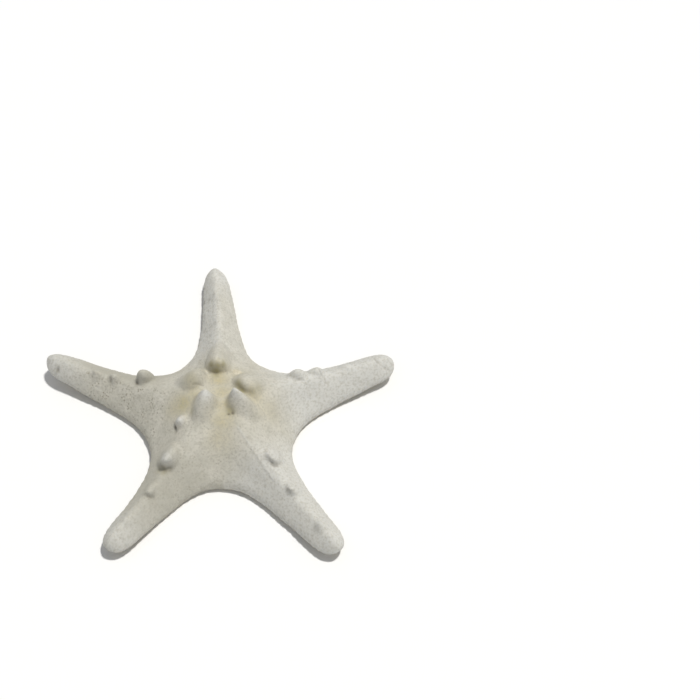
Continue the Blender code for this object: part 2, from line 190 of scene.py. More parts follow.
def makeStage():
    eye = bpy.data.cameras.new("camera")
    eye.lens = view["lens"]
    eye.sensor_width = view["sensor"]
    camera = newObject("camera", eye)
    rise = math.radians(view["elevation"])
    away = Vector((0, -math.cos(rise), math.sin(rise)))
    camera.location = Vector(view["lookAt"]) + away * view["distance"]
    camera.rotation_euler = (math.pi / 2 - rise, 0, 0)
    bpy.context.scene.camera = camera

    key = bpy.data.lights.new("key", "SUN")
    key.energy = light["keyStrength"]
    key.angle = math.radians(light["keyAngle"])
    key.color = linearColour(light["keyColour"])[:3]
    lamp = newObject("key", key)
    height = math.radians(light["keyElevation"])
    towards = Vector((*polar(light["keyHeading"], math.cos(height)), math.sin(height)))
    lamp.rotation_euler = towards.to_track_quat("Z", "Y").to_euler()

    world = bpy.data.worlds.new("studio")
    world.use_nodes = True
    sky = world.node_tree.nodes["Background"]
    sky.inputs["Color"].default_value = linearColour(light["skyColour"])
    sky.inputs["Strength"].default_value = light["sky"]
    bpy.context.scene.world = world
    bpy.context.scene.view_settings.view_transform = "Standard"

    half = floorSize / 2
    mesh = bpy.data.meshes.new("floor")
    corners = [(x * half, y * half, 0) for x, y in ((-1, -1), (1, -1), (1, 1), (-1, 1))]
    mesh.from_pydata(corners, [], [(0, 1, 2, 3)])
    floor = newObject("floor", mesh)
    # Seamless studio paper: white and matte
    mesh.materials.append(newMaterial("matteWhitePaper", {
        "Base Color": linearColour("#f3f3f2"), "Roughness": 0.95, "Specular IOR Level": 0.2,
    })[0])


# The body, by the same rule as the solids: five arms from a domed disc

body = {
    "middle": (0.62, -6.9),
    "centreHeight": 24.0, "tipHeight": 7.6,
    "ridgeRun": 38.0, "ridgePower": 1.6,
    "notchMargin": 6.4, "tipMargin": 4.6,  # height of the side wall
    "shoulderPower": 2.0, "roofPower": 1.45, "saddleEnd": 0.4,
    "liftStart": 34.0, "liftPower": 1.3, "sweepStart": 27.0, "sweepPower": 1.5,
    "flare": 6.5, "tipRound": 6.5, "tipClose": 0.42,  # of the height, where the end of an arm closes
    "upperInset": 1.1, "wallBulge": 0.35, "underInset": 1.0,
    "grooveHalf": 1.7, "grooveDepth": 3.2, "mouthDepth": 5.0, "mouthRadius": 3.6,
    "innerRows": (0.13, 0.32, 0.54, 0.78),
    "outerRows": (0.0, 0.1, 0.22, 0.37, 0.53, 0.7, 0.86, 1.0),
    "tipTurns": (32.0, 58.0, 80.0),
    "topColumns": (0.36, 0.7, 1.0),
    "restFlat": 0.3,
    "crownDip": 1.6, "crownDipRadius": 8.0, "crownMiddle": (1.5, 3.0),  # the hollow between its knobs
}
bodyOffset = np.array([*body["middle"], 0.0])
arms = {
    "right": dict(heading=20.9, reach=72.6, sweep=-0.1, lift=3.5, root=10.3, end=5.7),
    "back": dict(heading=92.0, reach=71.8, sweep=2.8, lift=2.5, root=9.0, end=4.9),
    "left": dict(heading=161.8, reach=73.7, sweep=-2.5, lift=5.6, root=10.1, end=4.9),
    "frontLeft": dict(heading=236.3, reach=68.3, sweep=-1.2, lift=2.8, root=8.6, end=5.4),
    "frontRight": dict(heading=309.1, reach=73.6, sweep=0.5, lift=2.8, root=9.3, end=5.3),
}
armNodes = {
    "right": "right", "back": "back", "left": "left", "frontLeft": "front_left", "frontRight": "front_right",
}
notches = {
    "backRight": (66.2, 29.7),
    "backLeft": (124.7, 28.7),
    "sideLeft": (203.7, 28.9),
    "front": (275.6, 28.6),
    "sideRight": (340.1, 30.0),
}


def sweptBy(arm, s):
    bent = np.maximum(0.0, s - body["sweepStart"]) / (arm["reach"] - body["sweepStart"])
    return arm["sweep"] * bent ** body["sweepPower"]


def middleLine(arm, s):
    return polar(arm["heading"], s) + polar(arm["heading"] + 90, sweptBy(arm, s))


def ridgeHeight(s):
    fall = math.exp(-((s / body["ridgeRun"]) ** body["ridgePower"]))
    return body["tipHeight"] + (body["centreHeight"] - body["tipHeight"]) * fall


def roofDrop(v, saddle):
    saddle = max(0.0, saddle)
    return saddle * math.sin(math.pi / 2 * v) ** 2 + (1 - saddle) * v ** body["roofPower"]


def floorLift(arm, s):
    return arm["lift"] * smoothStep(s, body["liftStart"], arm["reach"]) ** body["liftPower"]


def halfWidth(arm, s, notchS, notchW):
    straight = (s - notchS) / (arm["reach"] - notchS)
    taper = arm["root"] + (arm["end"] - arm["root"]) * straight
    return taper + (notchW - arm["root"]) * np.exp(-(s - notchS) / body["flare"])


def unit(vector):
    return vector / np.linalg.norm(vector)


def innerRow(arm, sides, share):
    axis = polar(arm["heading"], 1)
    middleS = share * sum(n @ axis for n in sides) / 2
    middle = middleLine(arm, middleS)
    rise = body["centreHeight"] - body["notchMargin"]
    edgeZ = body["notchMargin"] + rise * (1 - share ** body["shoulderPower"])
    ridgeZ = ridgeHeight(middleS)
    top, under = [], []
    for side, notch in zip((-1, 1), sides):
        upperEdge = share * (notch - unit(notch) * body["upperInset"])
        lowerEdge = share * (notch - unit(notch) * body["underInset"])
        topHalf = []
        for v in body["topColumns"]:
            z = edgeZ + (ridgeZ - edgeZ) * (1 - roofDrop(v, 1.0))
            topHalf.append((*(middle + (upperEdge - middle) * v), z))
        half = np.linalg.norm(lowerEdge - middle)
        lip = min(body["grooveHalf"], 0.45 * half) / half
        mouth = max(0.0, 1 - (share * np.linalg.norm(notch) / (2 * body["mouthRadius"])) ** 2)
        underZ = body["mouthDepth"] * mouth
        underHalf = [(*(middle + (lowerEdge - middle) * v), underZ) for v in (lip, 1.0)]
        top.append(topHalf if side > 0 else topHalf[::-1])
        under.append(underHalf if side > 0 else underHalf[::-1])
    grooveZ = max(body["grooveDepth"], body["mouthDepth"] * (1 - share))
    return top[0] + [(*middle, ridgeZ)] + top[1], under[0] + [(*middle, grooveZ)] + under[1]


def outerRow(arm, sides, share, turn):
    axis, across = polar(arm["heading"], 1), polar(arm["heading"] + 90, 1)
    roundStart = arm["reach"] - body["tipRound"]
    intoTip = body["tipRound"] * math.sin(math.radians(turn))
    narrow = math.cos(math.radians(turn))
    middleStart = sum(n @ axis for n in sides) / 2
    middleS = middleStart + share * (roundStart - middleStart) + intoTip
    lift = floorLift(arm, middleS)
    margin = body["notchMargin"] + (body["tipMargin"] - body["notchMargin"]) * share
    ridge = ridgeHeight(middleS)
    closeZ = body["tipClose"] * ridge
    margin, ridge = (closeZ + (z - closeZ) * narrow for z in (margin, ridge))
    underZ = closeZ * (1 - narrow)
    middle = middleLine(arm, middleS)
    halves = []
    for side, notch in zip((-1, 1), sides):
        notchS, notchW = notch @ axis, abs(notch @ across)
        s = notchS + share * (roundStart - notchS) + intoTip
        width = halfWidth(arm, s, notchS, notchW) * narrow
        outward = across * side if share > 0 else unit(notch)
        edge = middleLine(arm, s) + across * side * width
        upper = edge - outward * body["upperInset"] * narrow
        lower = edge - outward * body["underInset"] * narrow
        top = []
        for v in body["topColumns"]:
            drop = roofDrop(v, 1 - share / body["saddleEnd"])
            top.append((*(middle + (upper - middle) * v), lift + margin + (ridge - margin) * (1 - drop)))
        wall = (*(edge + outward * body["wallBulge"]), lift + underZ + 0.45 * (margin - underZ))
        half = max(np.linalg.norm(lower - middle), 0.01)
        lip = min(body["grooveHalf"] * risingFrom(0.75, narrow), 0.45 * half) / half
        under = [(*(middle + (lower - middle) * v), lift + underZ) for v in (lip, 1.0)]
        halves.append((top, wall, under))
    grooveZ = lift + underZ + body["grooveDepth"] * (1 - 0.5 * share) * narrow
    (topR, wallR, underR), (topL, wallL, underL) = halves
    top = topR[::-1] + [(*middle, lift + ridge)] + topL
    under = underR[::-1] + [(*middle, grooveZ)] + underL
    return top, under, wallR, wallL


def bodyCage():
    points, faces = [], []

    def corner(point):
        points.append(point)
        return len(points) - 1

    directions = [polar(*notch) for notch in notches.values()]
    for place, arm in enumerate(arms.values()):
        sides = (directions[place - 1], directions[place])
        topPole, underPole = corner((0, 0, body["centreHeight"])), corner((0, 0, body["mouthDepth"]))
        tops, unders, walls = [], [], []
        for share in body["innerRows"]:
            top, under = innerRow(arm, sides, share)
            tops.append([corner(p) for p in top])
            unders.append([corner(p) for p in under])
            walls.append(None)
        rings = [(share, 0.0) for share in body["outerRows"]] + [(1.0, turn) for turn in body["tipTurns"]]
        for share, turn in rings:
            top, under, wallR, wallL = outerRow(arm, sides, share, turn)
            tops.append([corner(p) for p in top])
            unders.append([corner(p) for p in under])
            walls.append((corner(wallR), corner(wallL)))
        faces += [(topPole, a, b) for a, b in zip(tops[0], tops[0][1:])]
        faces += [(underPole, b, a) for a, b in zip(unders[0], unders[0][1:])]
        for a, b in zip(range(len(tops) - 1), range(1, len(tops))):
            for i in range(len(tops[a]) - 1):
                faces.append((tops[a][i], tops[b][i], tops[b][i + 1], tops[a][i + 1]))
            for i in range(len(unders[a]) - 1):
                faces.append((unders[a][i], unders[a][i + 1], unders[b][i + 1], unders[b][i]))
            if walls[a]:
                (rightA, leftA), (rightB, leftB) = walls[a], walls[b]
                faces.append((tops[a][-1], tops[b][-1], leftB, leftA))
                faces.append((leftA, leftB, unders[b][-1], unders[a][-1]))
                faces.append((tops[b][0], tops[a][0], rightA, rightB))
                faces.append((rightB, rightA, unders[a][0], unders[b][0]))
        rightEnd, leftEnd = walls[-1]
        faces.append((*tops[-1], leftEnd, *unders[-1][::-1], rightEnd))
    return cleaned(meshFrom("bodyCage", points, faces))


def smoothBody():
    piece = newObject("body", bodyCage())
    rounding = piece.modifiers.new("Subdivision", "SUBSURF")
    rounding.levels = rounding.render_levels = 3
    applied(piece)
    places = readPlaces(piece.data)
    fromCrown = np.linalg.norm(places[:, :2] - body["crownMiddle"], axis=1)
    dip = body["crownDip"] * bell(fromCrown, body["crownDipRadius"])
    places[:, 2] -= np.where(places[:, 2] > 12, dip, 0)
    places[:, 2] = np.where(places[:, 2] < body["restFlat"], 0, places[:, 2])
    writePlaces(piece.data, places)
    return piece


def readPlaces(mesh):
    flat = np.empty(len(mesh.vertices) * 3)
    mesh.vertices.foreach_get("co", flat)
    return flat.reshape(-1, 3) / mm - bodyOffset


def writePlaces(mesh, places):
    mesh.vertices.foreach_set("co", ((places + bodyOffset) * mm).ravel())
    mesh.update()


def readNormals(mesh):
    flat = np.empty(len(mesh.vertices) * 3)
    mesh.vertex_normals.foreach_get("vector", flat)
    return flat.reshape(-1, 3)


# The knobs of the crown: place of the tip, its height over the floor, reach of the foot towards
# the middle, to its left and right and along its long flank, heading of that flank, bluntness
# (0 a cone, 1 a soft dome, 2 a full one), how far the tip leans back over its inner foot, and
# how white it is

knobKeys = ("x", "y", "top", "inner", "left", "right", "run", "flank", "blunt", "lean", "white")
crownKnobs = {
    "back": (-0.6, 13.8, 27.4, 4.0, 5.0, 5.6, 16.0, 92, 1.6, 1.0, 0.0),
    "left": (-8.6, 9.0, 25.8, 5.0, 6.6, 6.4, 8.5, 160, 1.0, 0.3, 0.0),
    "right": (10.6, 5.4, 25.4, 4.2, 6.5, 6.5, 11.0, 58, 1.4, 0.8, 0.0),
    "frontLeft": (-3.9, -2.2, 30.6, 4.6, 5.4, 5.0, 9.0, 250, 0.65, 0.5, 1.0),
    "frontRight": (7.0, -1.4, 31.3, 4.2, 3.8, 5.6, 11.0, 338, 0.15, 0.7, 0.9),
    "outer": (-14.2, -9.6, 21.3, 2.6, 2.5, 2.7, 3.6, 50, 0.7, 0.8, 1.0),
}
# Knobs on the ridge of each arm: distance out, place to its left, radius, height, bluntness,
# how far it leans and to what heading, and how white it is
ridgeKnobs = {
    "right": ((33.9, 3.5, 3.8, 5.2, 1.4, 0, 0, 0.3), (41.2, 3.3, 3.6, 3.8, 1.2, 0, 0, 0.2),
              (36.0, 3.0, 9.0, 1.2, 1.0, 0, 0, 0.0), (53.0, 2.2, 2.4, 1.3, 1.0, 0, 0, 0.2)),
    "back": ((41.0, 0.4, 3.2, 1.2, 1.0, 0, 0, 0.2), (55.0, 0.4, 2.8, 1.0, 1.0, 0, 0, 0.2)),
    "left": ((32.2, -3.3, 3.4, 7.2, 1.7, 0.2, 200, 0.4), (43.8, 0.2, 2.7, 2.8, 1.0, 0.6, 200, 0.2),
             (51.4, 1.0, 2.4, 2.1, 0.9, 0.5, 200, 0.2)),
    "frontLeft": ((31.3, -0.9, 4.8, 5.6, 1.3, 3.2, 262, 0.9), (43.4, 0.5, 3.0, 2.3, 1.1, 1.4, 268, 0.2),
                  (56.0, 0.6, 2.3, 1.1, 1.0, 0, 0, 0.2)),
    "frontRight": ((31.9, 2.4, 3.6, 3.5, 1.3, 2.2, 275, 0.3), (46.0, 0.4, 3.3, 2.7, 1.1, 1.5, 268, 0.3),
                   (63.0, 0.2, 2.6, 1.3, 1.0, 0, 0, 0.2)),
}
knobRules = {
    "innerRun": 1.35, "tipRounding": 0.09, "shear": 1.6, "blend": 0.35,
    "domePower": 1.3, "fullerBy": 0.7, "conePower": 1.5,
    "steepest": 0.05, "lowest": 4.0,  # where the back of the body begins, by its normal and its height
}


def fromAbove(tree, x, y):
    # Where a line straight down meets the surface, and the surface's normal there
    start = Vector(((x + bodyOffset[0]) * mm, (y + bodyOffset[1]) * mm, 1.0))
    return tree.ray_cast(start, Vector((0, 0, -1)))[:2]


def allKnobs(tree):
    # Every knob alike, with its foot, its tip and its height over the ground
    rows = []
    for values in crownKnobs.values():
        knob = dict(zip(knobKeys, values))
        foot = np.array([knob["x"], knob["y"]]) + polar(knob["flank"], knob["lean"])
        ground = fromAbove(tree, *foot)[0].z / mm
        tip = np.array([knob["x"], knob["y"], knob["top"]])
        rows.append(dict(knob, foot=foot, tip=tip, height=knob["top"] - ground))
    for name, settings in ridgeKnobs.items():
        arm = arms[name]
        for s, aside, radius, height, blunt, lean, towards, white in settings:
            place = middleLine(arm, s) + polar(arm["heading"] + 90, aside)
            foot = place - polar(towards, lean)
            ground = fromAbove(tree, *foot)[0].z / mm
            rows.append(dict(
                foot=foot, tip=np.array([*place, ground + height]), height=height, blunt=blunt, inner=radius,
                left=radius, right=radius, run=radius * knobRules["innerRun"], flank=towards + 180,
                white=white,
            ))
    return rows


def knobShare(places, knob):
    # 1 over the knob's tip, falling to 0 at its foot
    offset = places[:, :2] - knob["foot"]
    along, aside = offset @ polar(knob["flank"], 1), offset @ polar(knob["flank"] + 90, 1)
    side = np.where(aside > 0, knob["left"], knob["right"])
    r = np.hypot(along / np.where(along > 0, knob["run"], knob["inner"]), aside / side)
    rounding = knobRules["tipRounding"]
    pointed = np.sqrt(r * r + rounding**2) - rounding
    fuller = knobRules["fullerBy"] * max(0.0, knob["blunt"] - 1)
    dome = np.clip(1 - r * r, 0, 1) ** (knobRules["domePower"] - fuller)
    cone = np.clip(1 - pointed, 0, 1) ** knobRules["conePower"]
    blunt = min(knob["blunt"], 1.0)
    return blunt * dome + (1 - blunt) * cone


def raiseKnobs(places, normals, knobs):
    # Lifts the back of the body over each knob's foot and leans the knob over
    back = (normals[:, 2] > knobRules["steepest"]) & (places[:, 2] > knobRules["lowest"])
    lift, shift = np.zeros(len(places)), np.zeros((len(places), 2))
    for knob in knobs:
        share = knobShare(places, knob) * back
        risen = share * knob["height"]
        gap = np.clip(1 - np.abs(lift - risen) / knobRules["blend"], 0, 1)
        lift = np.maximum(lift, risen) + 0.25 * knobRules["blend"] * gap**2 * (share > 0)
        direction = knob["tip"][:2] - knob["foot"]
        shift += direction * (share ** knobRules["shear"])[:, None]
    places = places.copy()
    places[:, 2] += lift
    places[:, :2] += shift
    return places


# The skin: body and knobs run together, softened, then given its relief

skin = {
    "voxel": 0.42,  # millimetres between its points
    "softening": 6,  # rounds all over
    "kept": 0.7,  # of its triangles, after thinning
    "swell": 0.28, "swellSize": 9.0,
    "ripple": 0.09, "rippleSize": 3.2,
    "keel": 0.16, "keelWidth": 1.8, "keelPlate": 2.9,  # plates along the ridge of an arm
    "rib": 0.035, "ribSpacing": 2.9,  # rows of plates from the ridge down to the margin
    "ribWander": 0.12, "ribWanderSize": 5.0, "ribFree": 2.0,  # of the ridge, on each side
    "worn": 0.15, "wornSize": 1.1, "wornArms": ("left", "back"),  # pitted skin, left of the ridge
    "marginPlate": 2.9, "marginRelief": 0.24, "marginStep": 3.2,  # height between its two rows
    "pavement": 0.2, "pavementRow": 2.1, "pavementPlate": 1.9,  # plates of the underside
    "grooveRib": 0.2, "grooveRibSpacing": 1.4,
    "tipSeam": 0.14, "tipSeamWidth": 0.34, "tipPlate": 5.2,
    "restHeight": 0.2,  # room for the grains under it
    "seed": 11,
    # Where a rule fades in: by the upward part of the normal, by millimetres from the middle of the
    # body or from the tip of the arm, across the ridge, and by height
    "facingUp": (0.1, 0.5), "facingDown": (0.5, 0.8), "facingAside": (0.75, 0.4),
    "armStart": (16, 24), "armEnd": (6, 10),
    "wornStart": (14, 22), "wornEnd": (8, 16), "wornSide": (-0.9, 2.1),
    "marginEnd": (4, 8), "marginTop": (7.5, 4.5), "wallTop": 16,
    "pavementEnd": (3, 6), "grooveStart": 6, "grooveAcross": (1.6, 0.9),
}
# Folds and cracks of the dried skin: x and y of their points, half-width, height, how dark, how pale. Part of
# the dark is painted shadow, under the left crown knob, under knobs of the front arms and on the shaded side
# of the front crease
wrinkles = (
    (((8.6, -12.4), (15.6, -21.8), (22.6, -31.0)), 0.42, 0.16, 0.0, 0.45),
    # The crease's shaded side, with a touch of painted shade
    (((8.0, -12.9), (15.0, -22.3), (20.6, -29.8)), 0.4, -0.05, 0.03, 0.0),
    (((59.9, 24.6), (61.1, 22.2)), 0.42, -0.3, 0.3, 0.0),
    (((61.1, 22.2), (63.7, 20.9), (66.8, 20.8)), 0.36, -0.22, 0.08, 0.1),
    # Painted shadow under the left crown knob
    (((-9.2, 4.6), (-5.4, 5.2)), 0.3, -0.16, 0.4, 0.0),
    (((4.7, -7.4), (5.1, -7.5)), 0.45, -0.3, 0.8, 0.0),
    (((6.2, -7.0), (6.5, -7.2)), 0.45, -0.3, 1.0, 0.0),
    # Painted shadow: dark crescents under knobs of the front arms
    (((19.7, -22.9), (21.0, -24.5), (22.3, -25.3), (23.6, -24.6), (24.5, -23.0)), 0.55, -0.25, 0.12, 0.0),
    (((21.0, -24.8), (22.1, -25.3), (23.2, -24.9)), 0.6, -0.3, 0.5, 0.0),
    (((-24.6, -37.4), (-23.4, -37.5), (-22.4, -37.1)), 0.38, -0.25, 0.3, 0.0),
    (((27.1, -34.8), (28.3, -35.9), (29.7, -35.7)), 0.45, -0.25, 0.35, 0.0),
    (((28.6, 11.4), (32.6, 12.0)), 0.4, -0.2, 0.2, 0.0),
    (((38.4, 17.0), (39.4, 15.4)), 0.45, -0.3, 0.25, 0.0),
    (((40.0, 14.8), (41.0, 13.0)), 0.4, -0.2, 0.18, 0.0),
)
# Hollows beside the knobs and pits in the wall of the back arm: x, y, z, radius, depth, how olive, or below 0
# how grey. The olive is painted shade on the knobs' shaded faces over the tissue's tint; the grey is painted
# shadow in the slit under the outer crown knob, under the front left arm's first knob and, mostly, in the
# notches along the back arm's left side
hollows = (
    (5.3, -6.2, 22.3, 2.0, 0.5, 0.6), (8.8, 4.2, 22.7, 2.0, 0.3, 0.7), (9.7, 3.1, 21.8, 1.9, 0.4, 0.8),
    (12.8, 2.8, 21.8, 2.0, 0.4, 0.4), (15.5, 4.1, 21.0, 1.8, 0.3, 0.25), (-1.0, 10.4, 21.4, 1.3, 0.5, 0.6),
    (1.0, 13.9, 26.9, 1.1, 0.7, 0.5), (-15.5, -10.2, 16.6, 0.8, 0.6, -0.95),
    (-15.8, -11.8, 16.1, 0.8, 0.6, -0.95), (-20.8, -26.2, 12.4, 1.6, 0.4, 0.35),
    (-19.0, -27.4, 13.8, 1.6, 0.45, 0.45), (-16.7, -27.0, 14.3, 1.2, 0.45, -0.55),
    (-18.4, -27.6, 13.8, 1.1, 0.35, -0.35), (-19.2, -25.9, 14.7, 1.5, 0.1, -0.3),
    (-9.1, 62.2, 5.6, 0.5, 0.3, -0.5), (-9.0, 55.6, 5.1, 0.8, 0.35, -0.6), (-9.3, 51.0, 4.0, 0.5, 0.25, -0.4),
    (-8.8, 47.4, 6.1, 0.6, 0.3, -0.35), (-8.6, 39.9, 6.9, 0.7, 0.3, -0.35),
    (-5.1, 55.1, 11.3, 0.8, 0.25, -0.2), (-5.2, 35.0, 11.3, 0.8, 0.25, -0.18),
    (-7.7, 40.4, 7.7, 0.6, 0.25, -0.2), (-7.0, 48.9, 8.1, 0.6, 0.25, -0.18),
)
# Small dark pits and marks: arm, distance out, place to the left, radius, depth, darkness; the left arm's
# marks beside its knobs are painted knob shadows
pits = (
    ("left", 66.9, 3.5, 0.75, 0.5, 0.6), ("left", 67.6, 4.6, 0.45, 0.3, 0.3),
    # Painted shadows of the left arm's knobs
    ("left", 51.8, 1.2, 0.6, 0.25, 0.3), ("left", 50.0, 1.0, 0.5, 0.2, 0.25),
    ("left", 44.3, 1.3, 0.7, 0.3, 0.4), ("left", 33.7, -0.1, 0.8, 0.4, 0.55),
    ("back", 54.3, 3.6, 0.5, 0.3, 0.25), ("back", 40.2, 1.6, 0.6, 0.25, 0.2),
    ("back", 30.6, 3.1, 0.6, 0.3, 0.25), ("frontRight", 62.4, -2.3, 1.4, 0.25, 0.14),
)
far = 99.0  # millimetres, past the reach of any mark


def armPlaces(places):
    # For each point its arm, how far out it lies, how far left of the middle line, and the arm's reach
    headings = np.degrees(np.arctan2(places[:, 1], places[:, 0])) % 360
    sector = np.searchsorted([heading for heading, _ in notches.values()], headings) % len(arms)
    s, t = np.zeros(len(places)), np.zeros(len(places))
    for k, arm in enumerate(arms.values()):
        own = sector == k
        s[own] = places[own, :2] @ polar(arm["heading"], 1)
        t[own] = places[own, :2] @ polar(arm["heading"] + 90, 1) - sweptBy(arm, s[own])
    return sector, s, t, np.array([arm["reach"] for arm in arms.values()])[sector]


def meshEdges(mesh):
    flat = np.empty(len(mesh.edges) * 2, dtype=np.int64)
    mesh.edges.foreach_get("vertices", flat)
    return flat.reshape(-1, 2)


def soften(places, edges, rounds):
    size = len(places)
    count = np.bincount(edges.ravel(), minlength=size)[:, None]
    for _ in range(rounds):
        total = np.empty_like(places)
        for axis in range(3):
            line = places[:, axis]
            total[:, axis] = np.bincount(edges[:, 0], line[edges[:, 1]], size)
            total[:, axis] += np.bincount(edges[:, 1], line[edges[:, 0]], size)
        places = places + 0.5 * (total / count - places)
    return places


def noiseField(places, size, seed):
    shifted = places / size + seed * 7.3
    return np.array([noise.noise(Vector(p)) for p in shifted])


def wave(x):
    # Rounded humps with narrow creases between them, from 0 in a crease to 1
    return np.abs(np.sin(math.pi * x)) ** 0.6


def offLine(places, points):
    # Distance of each place from a line of points, as seen from above
    nearest = np.full(len(places), far)
    for first, last in zip(points, points[1:]):
        offset, along = places[:, :2] - first, np.subtract(last, first)
        share = np.clip(offset @ along / (along @ along), 0, 1)
        nearest = np.minimum(nearest, np.linalg.norm(offset - share[:, None] * along, axis=1))
    return nearest


def onArms(sector, *names):
    return np.isin(sector, [list(arms).index(name) for name in names])


def offPit(sector, s, t, pit):
    # Distance from a pit, far on the other arms
    name, pitS, pitT = pit[:3]
    return np.hypot(s - pitS, t - pitT) + far * ~onArms(sector, name)


def wornPart(sector, s, t, reach):
    along = smoothStep(s, *skin["wornStart"]) * smoothStep(reach - s, *skin["wornEnd"])
    return onArms(sector, *skin["wornArms"]) * along * smoothStep(t, *skin["wornSide"])


def skinRelief(places, normals):
    sector, s, t, reach = armPlaces(places)
    height, towardsTip = places[:, 2], reach - s
    up = smoothStep(normals[:, 2], *skin["facingUp"])
    down = smoothStep(-normals[:, 2], *skin["facingDown"])
    wall = smoothStep(np.abs(normals[:, 2]), *skin["facingAside"]) * (height < skin["wallTop"])

    rise = skin["swell"] * noiseField(places, skin["swellSize"], skin["seed"])
    rise += skin["ripple"] * noiseField(places, skin["rippleSize"], skin["seed"] + 1)
    rise *= 1 - down
    worn = noiseField(places, skin["wornSize"], skin["seed"] + 3)
    rise += skin["worn"] * worn * wornPart(sector, s, t, reach) * up

    onArm = smoothStep(s, *skin["armStart"]) * smoothStep(towardsTip, *skin["armEnd"])
    keelPlates = 0.55 + 0.45 * wave(s / skin["keelPlate"])
    rise += up * onArm * skin["keel"] * bell(t, skin["keelWidth"]) * keelPlates
    wander = skin["ribWander"] * noiseField(places, skin["ribWanderSize"], skin["seed"] + 2)
    ribs = wave(s / skin["ribSpacing"] + wander) - 0.7
    rise += up * onArm * skin["rib"] * ribs * (1 - bell(t, skin["ribFree"]))

    scallop = wave(s / skin["marginPlate"] + 0.25 * (height > skin["marginStep"])) - 0.75
    margin = wall * smoothStep(towardsTip, *skin["marginEnd"]) * smoothStep(height, *skin["marginTop"])
    rise += margin * skin["marginRelief"] * scallop

    rise -= bell(towardsTip - skin["tipPlate"], skin["tipSeamWidth"]) * (up + 0.5 * wall) * skin["tipSeam"]
    for points, width, fold, _, _ in wrinkles:
        rise += fold * bell(offLine(places, points), width) * up
    for x, y, z, radius, depth, _ in hollows:
        rise -= depth * bell(np.linalg.norm(places - (x, y, z), axis=1), radius)
    for pit in pits:
        rise -= pit[4] * bell(offPit(sector, s, t, pit), pit[3]) * up

    moved = places + normals * rise[:, None]

    # Pavement of the underside: rows of plates beside the groove, cut up into the flats
    lip = np.abs(t) - body["grooveHalf"]
    row = lip / skin["pavementRow"]
    plates = np.minimum(wave(row), wave(s / skin["pavementPlate"] + 0.5 * (np.floor(row) % 2)))
    cut = skin["pavement"] * (1 - plates) * down * (lip > 0) * smoothStep(towardsTip, *skin["pavementEnd"])
    inGroove = smoothStep(np.abs(t), *skin["grooveAcross"]) * (normals[:, 2] < 0) * (s > skin["grooveStart"])
    inGroove *= smoothStep(towardsTip, *skin["armEnd"])
    cut += skin["grooveRib"] * (wave(s / skin["grooveRibSpacing"]) - 0.5) * inGroove
    moved[:, 2] += cut
    return moved


def insideCad(places):
    # Nothing stands past the box of the solids, nor will the grains on it
    low, high = (np.array(corner) / mm - bodyOffset for corner in cadBox)
    return np.clip(places, low + (0.2, 0.2, 0.01), high - 0.2)


stains = {
    # Places of the ochre tint between the knobs: x, y, radius, strength
    "valley": ((0.4, 8.5, 4.2, 1.0), (1.9, 2.3, 4.2, 0.9), (2.6, -4.1, 3.6, 0.85), (2.6, -9.6, 4.4, 0.9),
               (1.6, -15.0, 5.0, 0.55), (-8.6, 1.2, 3.6, 0.8), (-12.2, -1.8, 4.2, 1.0),
               (-15.6, -2.6, 4.0, 0.6), (14.6, 1.2, 4.2, 0.6), (18.5, -2.0, 5.0, 0.4),
               (6.5, 12.5, 4.5, 0.45), (-6.0, 13.0, 3.0, 0.4)),
    # Olive brown of dried tissue left in the hollows, darkened as painted shade on the shaded faces of the
    # crown knobs: x, y, z, radius, strength
    "tissueAndPaintedShade": ((-2.6, 12.6, 25.2, 1.9, 0.7), (2.2, 13.0, 24.6, 1.9, 0.65), (0.1, 12.0, 25.4, 1.8, 0.65),
               (-0.7, 11.0, 23.0, 1.9, 0.75), (8.4, 5.0, 23.6, 1.9, 0.7), (-10.6, 6.4, 25.0, 3.4, 0.42),
               (-8.6, -6.2, 21.2, 1.4, 0.45), (-13.0, -1.8, 18.6, 4.4, 0.3)),
    # Painted light and shade, arm by arm, to the left and to the right of its ridge: above 0 painted light,
    # below 0 painted shade
    "paintedLightByArm": {"right": (0.85, 0.85), "back": (0.8, 0.3), "left": (-0.2, -0.9), "frontLeft": (-0.6, -0.6),
                  "frontRight": (0.75, 0.75)},
    "paintedLightStart": (18, 32), "paintedLightSides": (-2, 2),  # millimetres along the arm and across its ridge
    "tipWhite": 0.85, "tipRun": (27, 3),  # millimetres from the tip
    "knobWhite": (0.33, 0.36),  # radius, by the knob's height and its width
    "knobsClean": 0.8,  # how little of the ochre is on them
    "back": (-0.2, 0.3), "underside": (0.35, 0.65),  # by the upward or downward part of the normal
    "poresBase": 0.2, "poresFront": 0.3, "poresWorn": 0.5,
    "poresLostInWhite": 0.92, "poresLostInOchre": 0.6, "poresLostOnRight": 0.5,  # on the right arm
    "grooveWider": 0.2, "grooveNarrows": (2, 18), "mouthRadius": 4.6, "mouthTop": 9,
}


